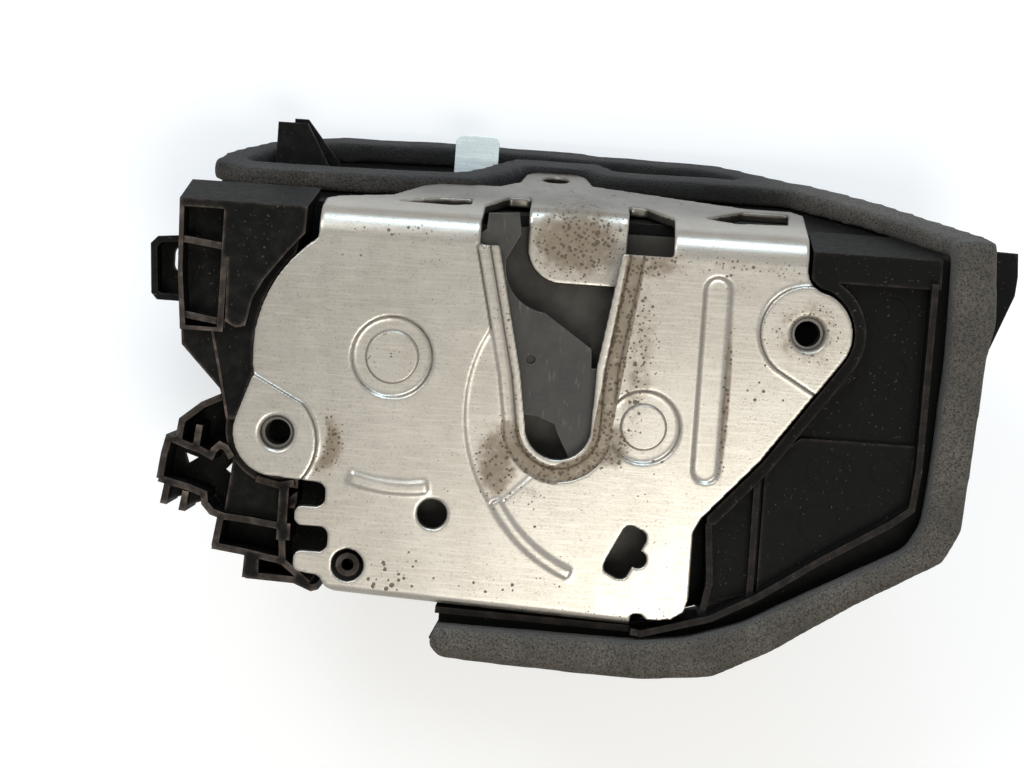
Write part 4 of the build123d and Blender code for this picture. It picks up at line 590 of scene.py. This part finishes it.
back = cad_box[1][1] + GROUND_GAP
ground_mesh = bpy.data.meshes.new("ground")
ground_mesh.from_pydata(
    [(GROUND_LEFT, back, GROUND_LOW), (GROUND_RIGHT, back, GROUND_LOW),
     (GROUND_RIGHT, back, GROUND_HIGH), (GROUND_LEFT, back, GROUND_HIGH)], [], [(0, 1, 2, 3)])
ground = bpy.data.objects.new("ground", ground_mesh)
bpy.context.scene.collection.objects.link(ground)
paper = bpy.data.materials.new("white_paper")
paper.use_nodes = True
nodes, links = paper.node_tree.nodes, paper.node_tree.links
paper_shader = nodes["Principled BSDF"]
paper_shader.inputs["Base Color"].default_value = PAPER_COLOUR
paper_shader.inputs["Roughness"].default_value = 0.9
paper_shader.inputs["Specular IOR Level"].default_value = 0.0
paper_shader.inputs["Emission Color"].default_value = WHITE
paper_shader.inputs["Emission Strength"].default_value = PAPER_GLOW
# from behind, the paper lets the latch's back be seen
seen_through = nodes.new("ShaderNodeBsdfTransparent")
side = nodes.new("ShaderNodeNewGeometry")
either = nodes.new("ShaderNodeMixShader")
links.new(side.outputs["Backfacing"], either.inputs[0])
links.new(paper_shader.outputs[0], either.inputs[1])
links.new(seen_through.outputs[0], either.inputs[2])
links.new(either.outputs[0], nodes["Material Output"].inputs["Surface"])
ground_mesh.materials.append(paper)

# ---------------------------------------------------------------- soft studio light
LIT_PLACE = Vector((0, 0.02, 0))


def soft_light(name, place, size, power, colour=(1, 1, 1)):
    """A square soft box that looks at the latch's middle."""
    data = bpy.data.lights.new(name, "AREA")
    data.shape = "SQUARE"
    data.size = size
    data.energy = power
    data.color = colour
    light = bpy.data.objects.new(name, data)
    light.location = place
    light.rotation_euler = (LIT_PLACE - Vector(place)).to_track_quat("-Z", "Y").to_euler()
    bpy.context.scene.collection.objects.link(light)


soft_light("key", (-0.42, -0.72, 0.58), 0.40, 3.8, (0.90, 0.95, 1.0))
soft_light("overhead", (0.05, -0.38, 0.90), 0.42, 4.4, (0.62, 0.82, 1.0))
soft_light("window", (0.14, -0.70, -0.25), 0.30, 2.7, (1.0, 0.985, 0.93))
soft_light("rear", (0.4, 1.0, 0.5), 0.9, 8.0)

# Surroundings: plain white to the eye, in metal and in glass. What else they light gets less
# from the left and from below, and bluer light from above.
LOW_LIGHT, HIGH_LIGHT = (1.0, 0.97, 0.90, 1), (0.76, 0.87, 1.0, 1)
world = bpy.data.worlds.new("studio")
bpy.context.scene.world = world
world.use_nodes = True
nodes, links = world.node_tree.nodes, world.node_tree.links


def slope(source, low, high, first, last):
    """A number that runs from first to last as the source runs from low to high."""
    step = nodes.new("ShaderNodeMapRange")
    step.interpolation_type = "SMOOTHSTEP"
    links.new(source, step.inputs["Value"])
    for key, value in (("From Min", low), ("From Max", high), ("To Min", first), ("To Max", last)):
        step.inputs[key].default_value = value
    return step.outputs["Result"]


def add(a, b):
    step = nodes.new("ShaderNodeMath")
    links.new(a, step.inputs[0])
    links.new(b, step.inputs[1])
    return step.outputs[0]


towards = nodes.new("ShaderNodeSeparateXYZ")
links.new(nodes.new("ShaderNodeTexCoord").outputs["Generated"], towards.inputs[0])
rightward, _, upward = towards.outputs
ambient = nodes["Background"]
ambient_tint = nodes.new("ShaderNodeMix")
ambient_tint.data_type = "RGBA"
ambient_tint.inputs[6].default_value = LOW_LIGHT
ambient_tint.inputs[7].default_value = HIGH_LIGHT
links.new(slope(upward, 0.15, 0.8, 0.0, 1.0), ambient_tint.inputs[0])
links.new(ambient_tint.outputs[2], ambient.inputs["Color"])
ambient_strength = add(slope(rightward, -0.3, 0.4, 0.20, 0.42), slope(upward, -0.9, 0.7, 0.02, 0.20))
links.new(ambient_strength, ambient.inputs["Strength"])
white = nodes.new("ShaderNodeBackground")
white.inputs["Color"].default_value = WHITE
white.inputs["Strength"].default_value = 1.0
ray = nodes.new("ShaderNodeLightPath").outputs
seen = add(add(ray["Is Camera Ray"], ray["Is Glossy Ray"]), ray["Is Transmission Ray"])
choose = nodes.new("ShaderNodeMixShader")
links.new(seen, choose.inputs[0])
links.new(ambient.outputs[0], choose.inputs[1])
links.new(white.outputs[0], choose.inputs[2])
links.new(choose.outputs[0], nodes["World Output"].inputs["Surface"])

bpy.context.scene.view_settings.view_transform = "Standard"
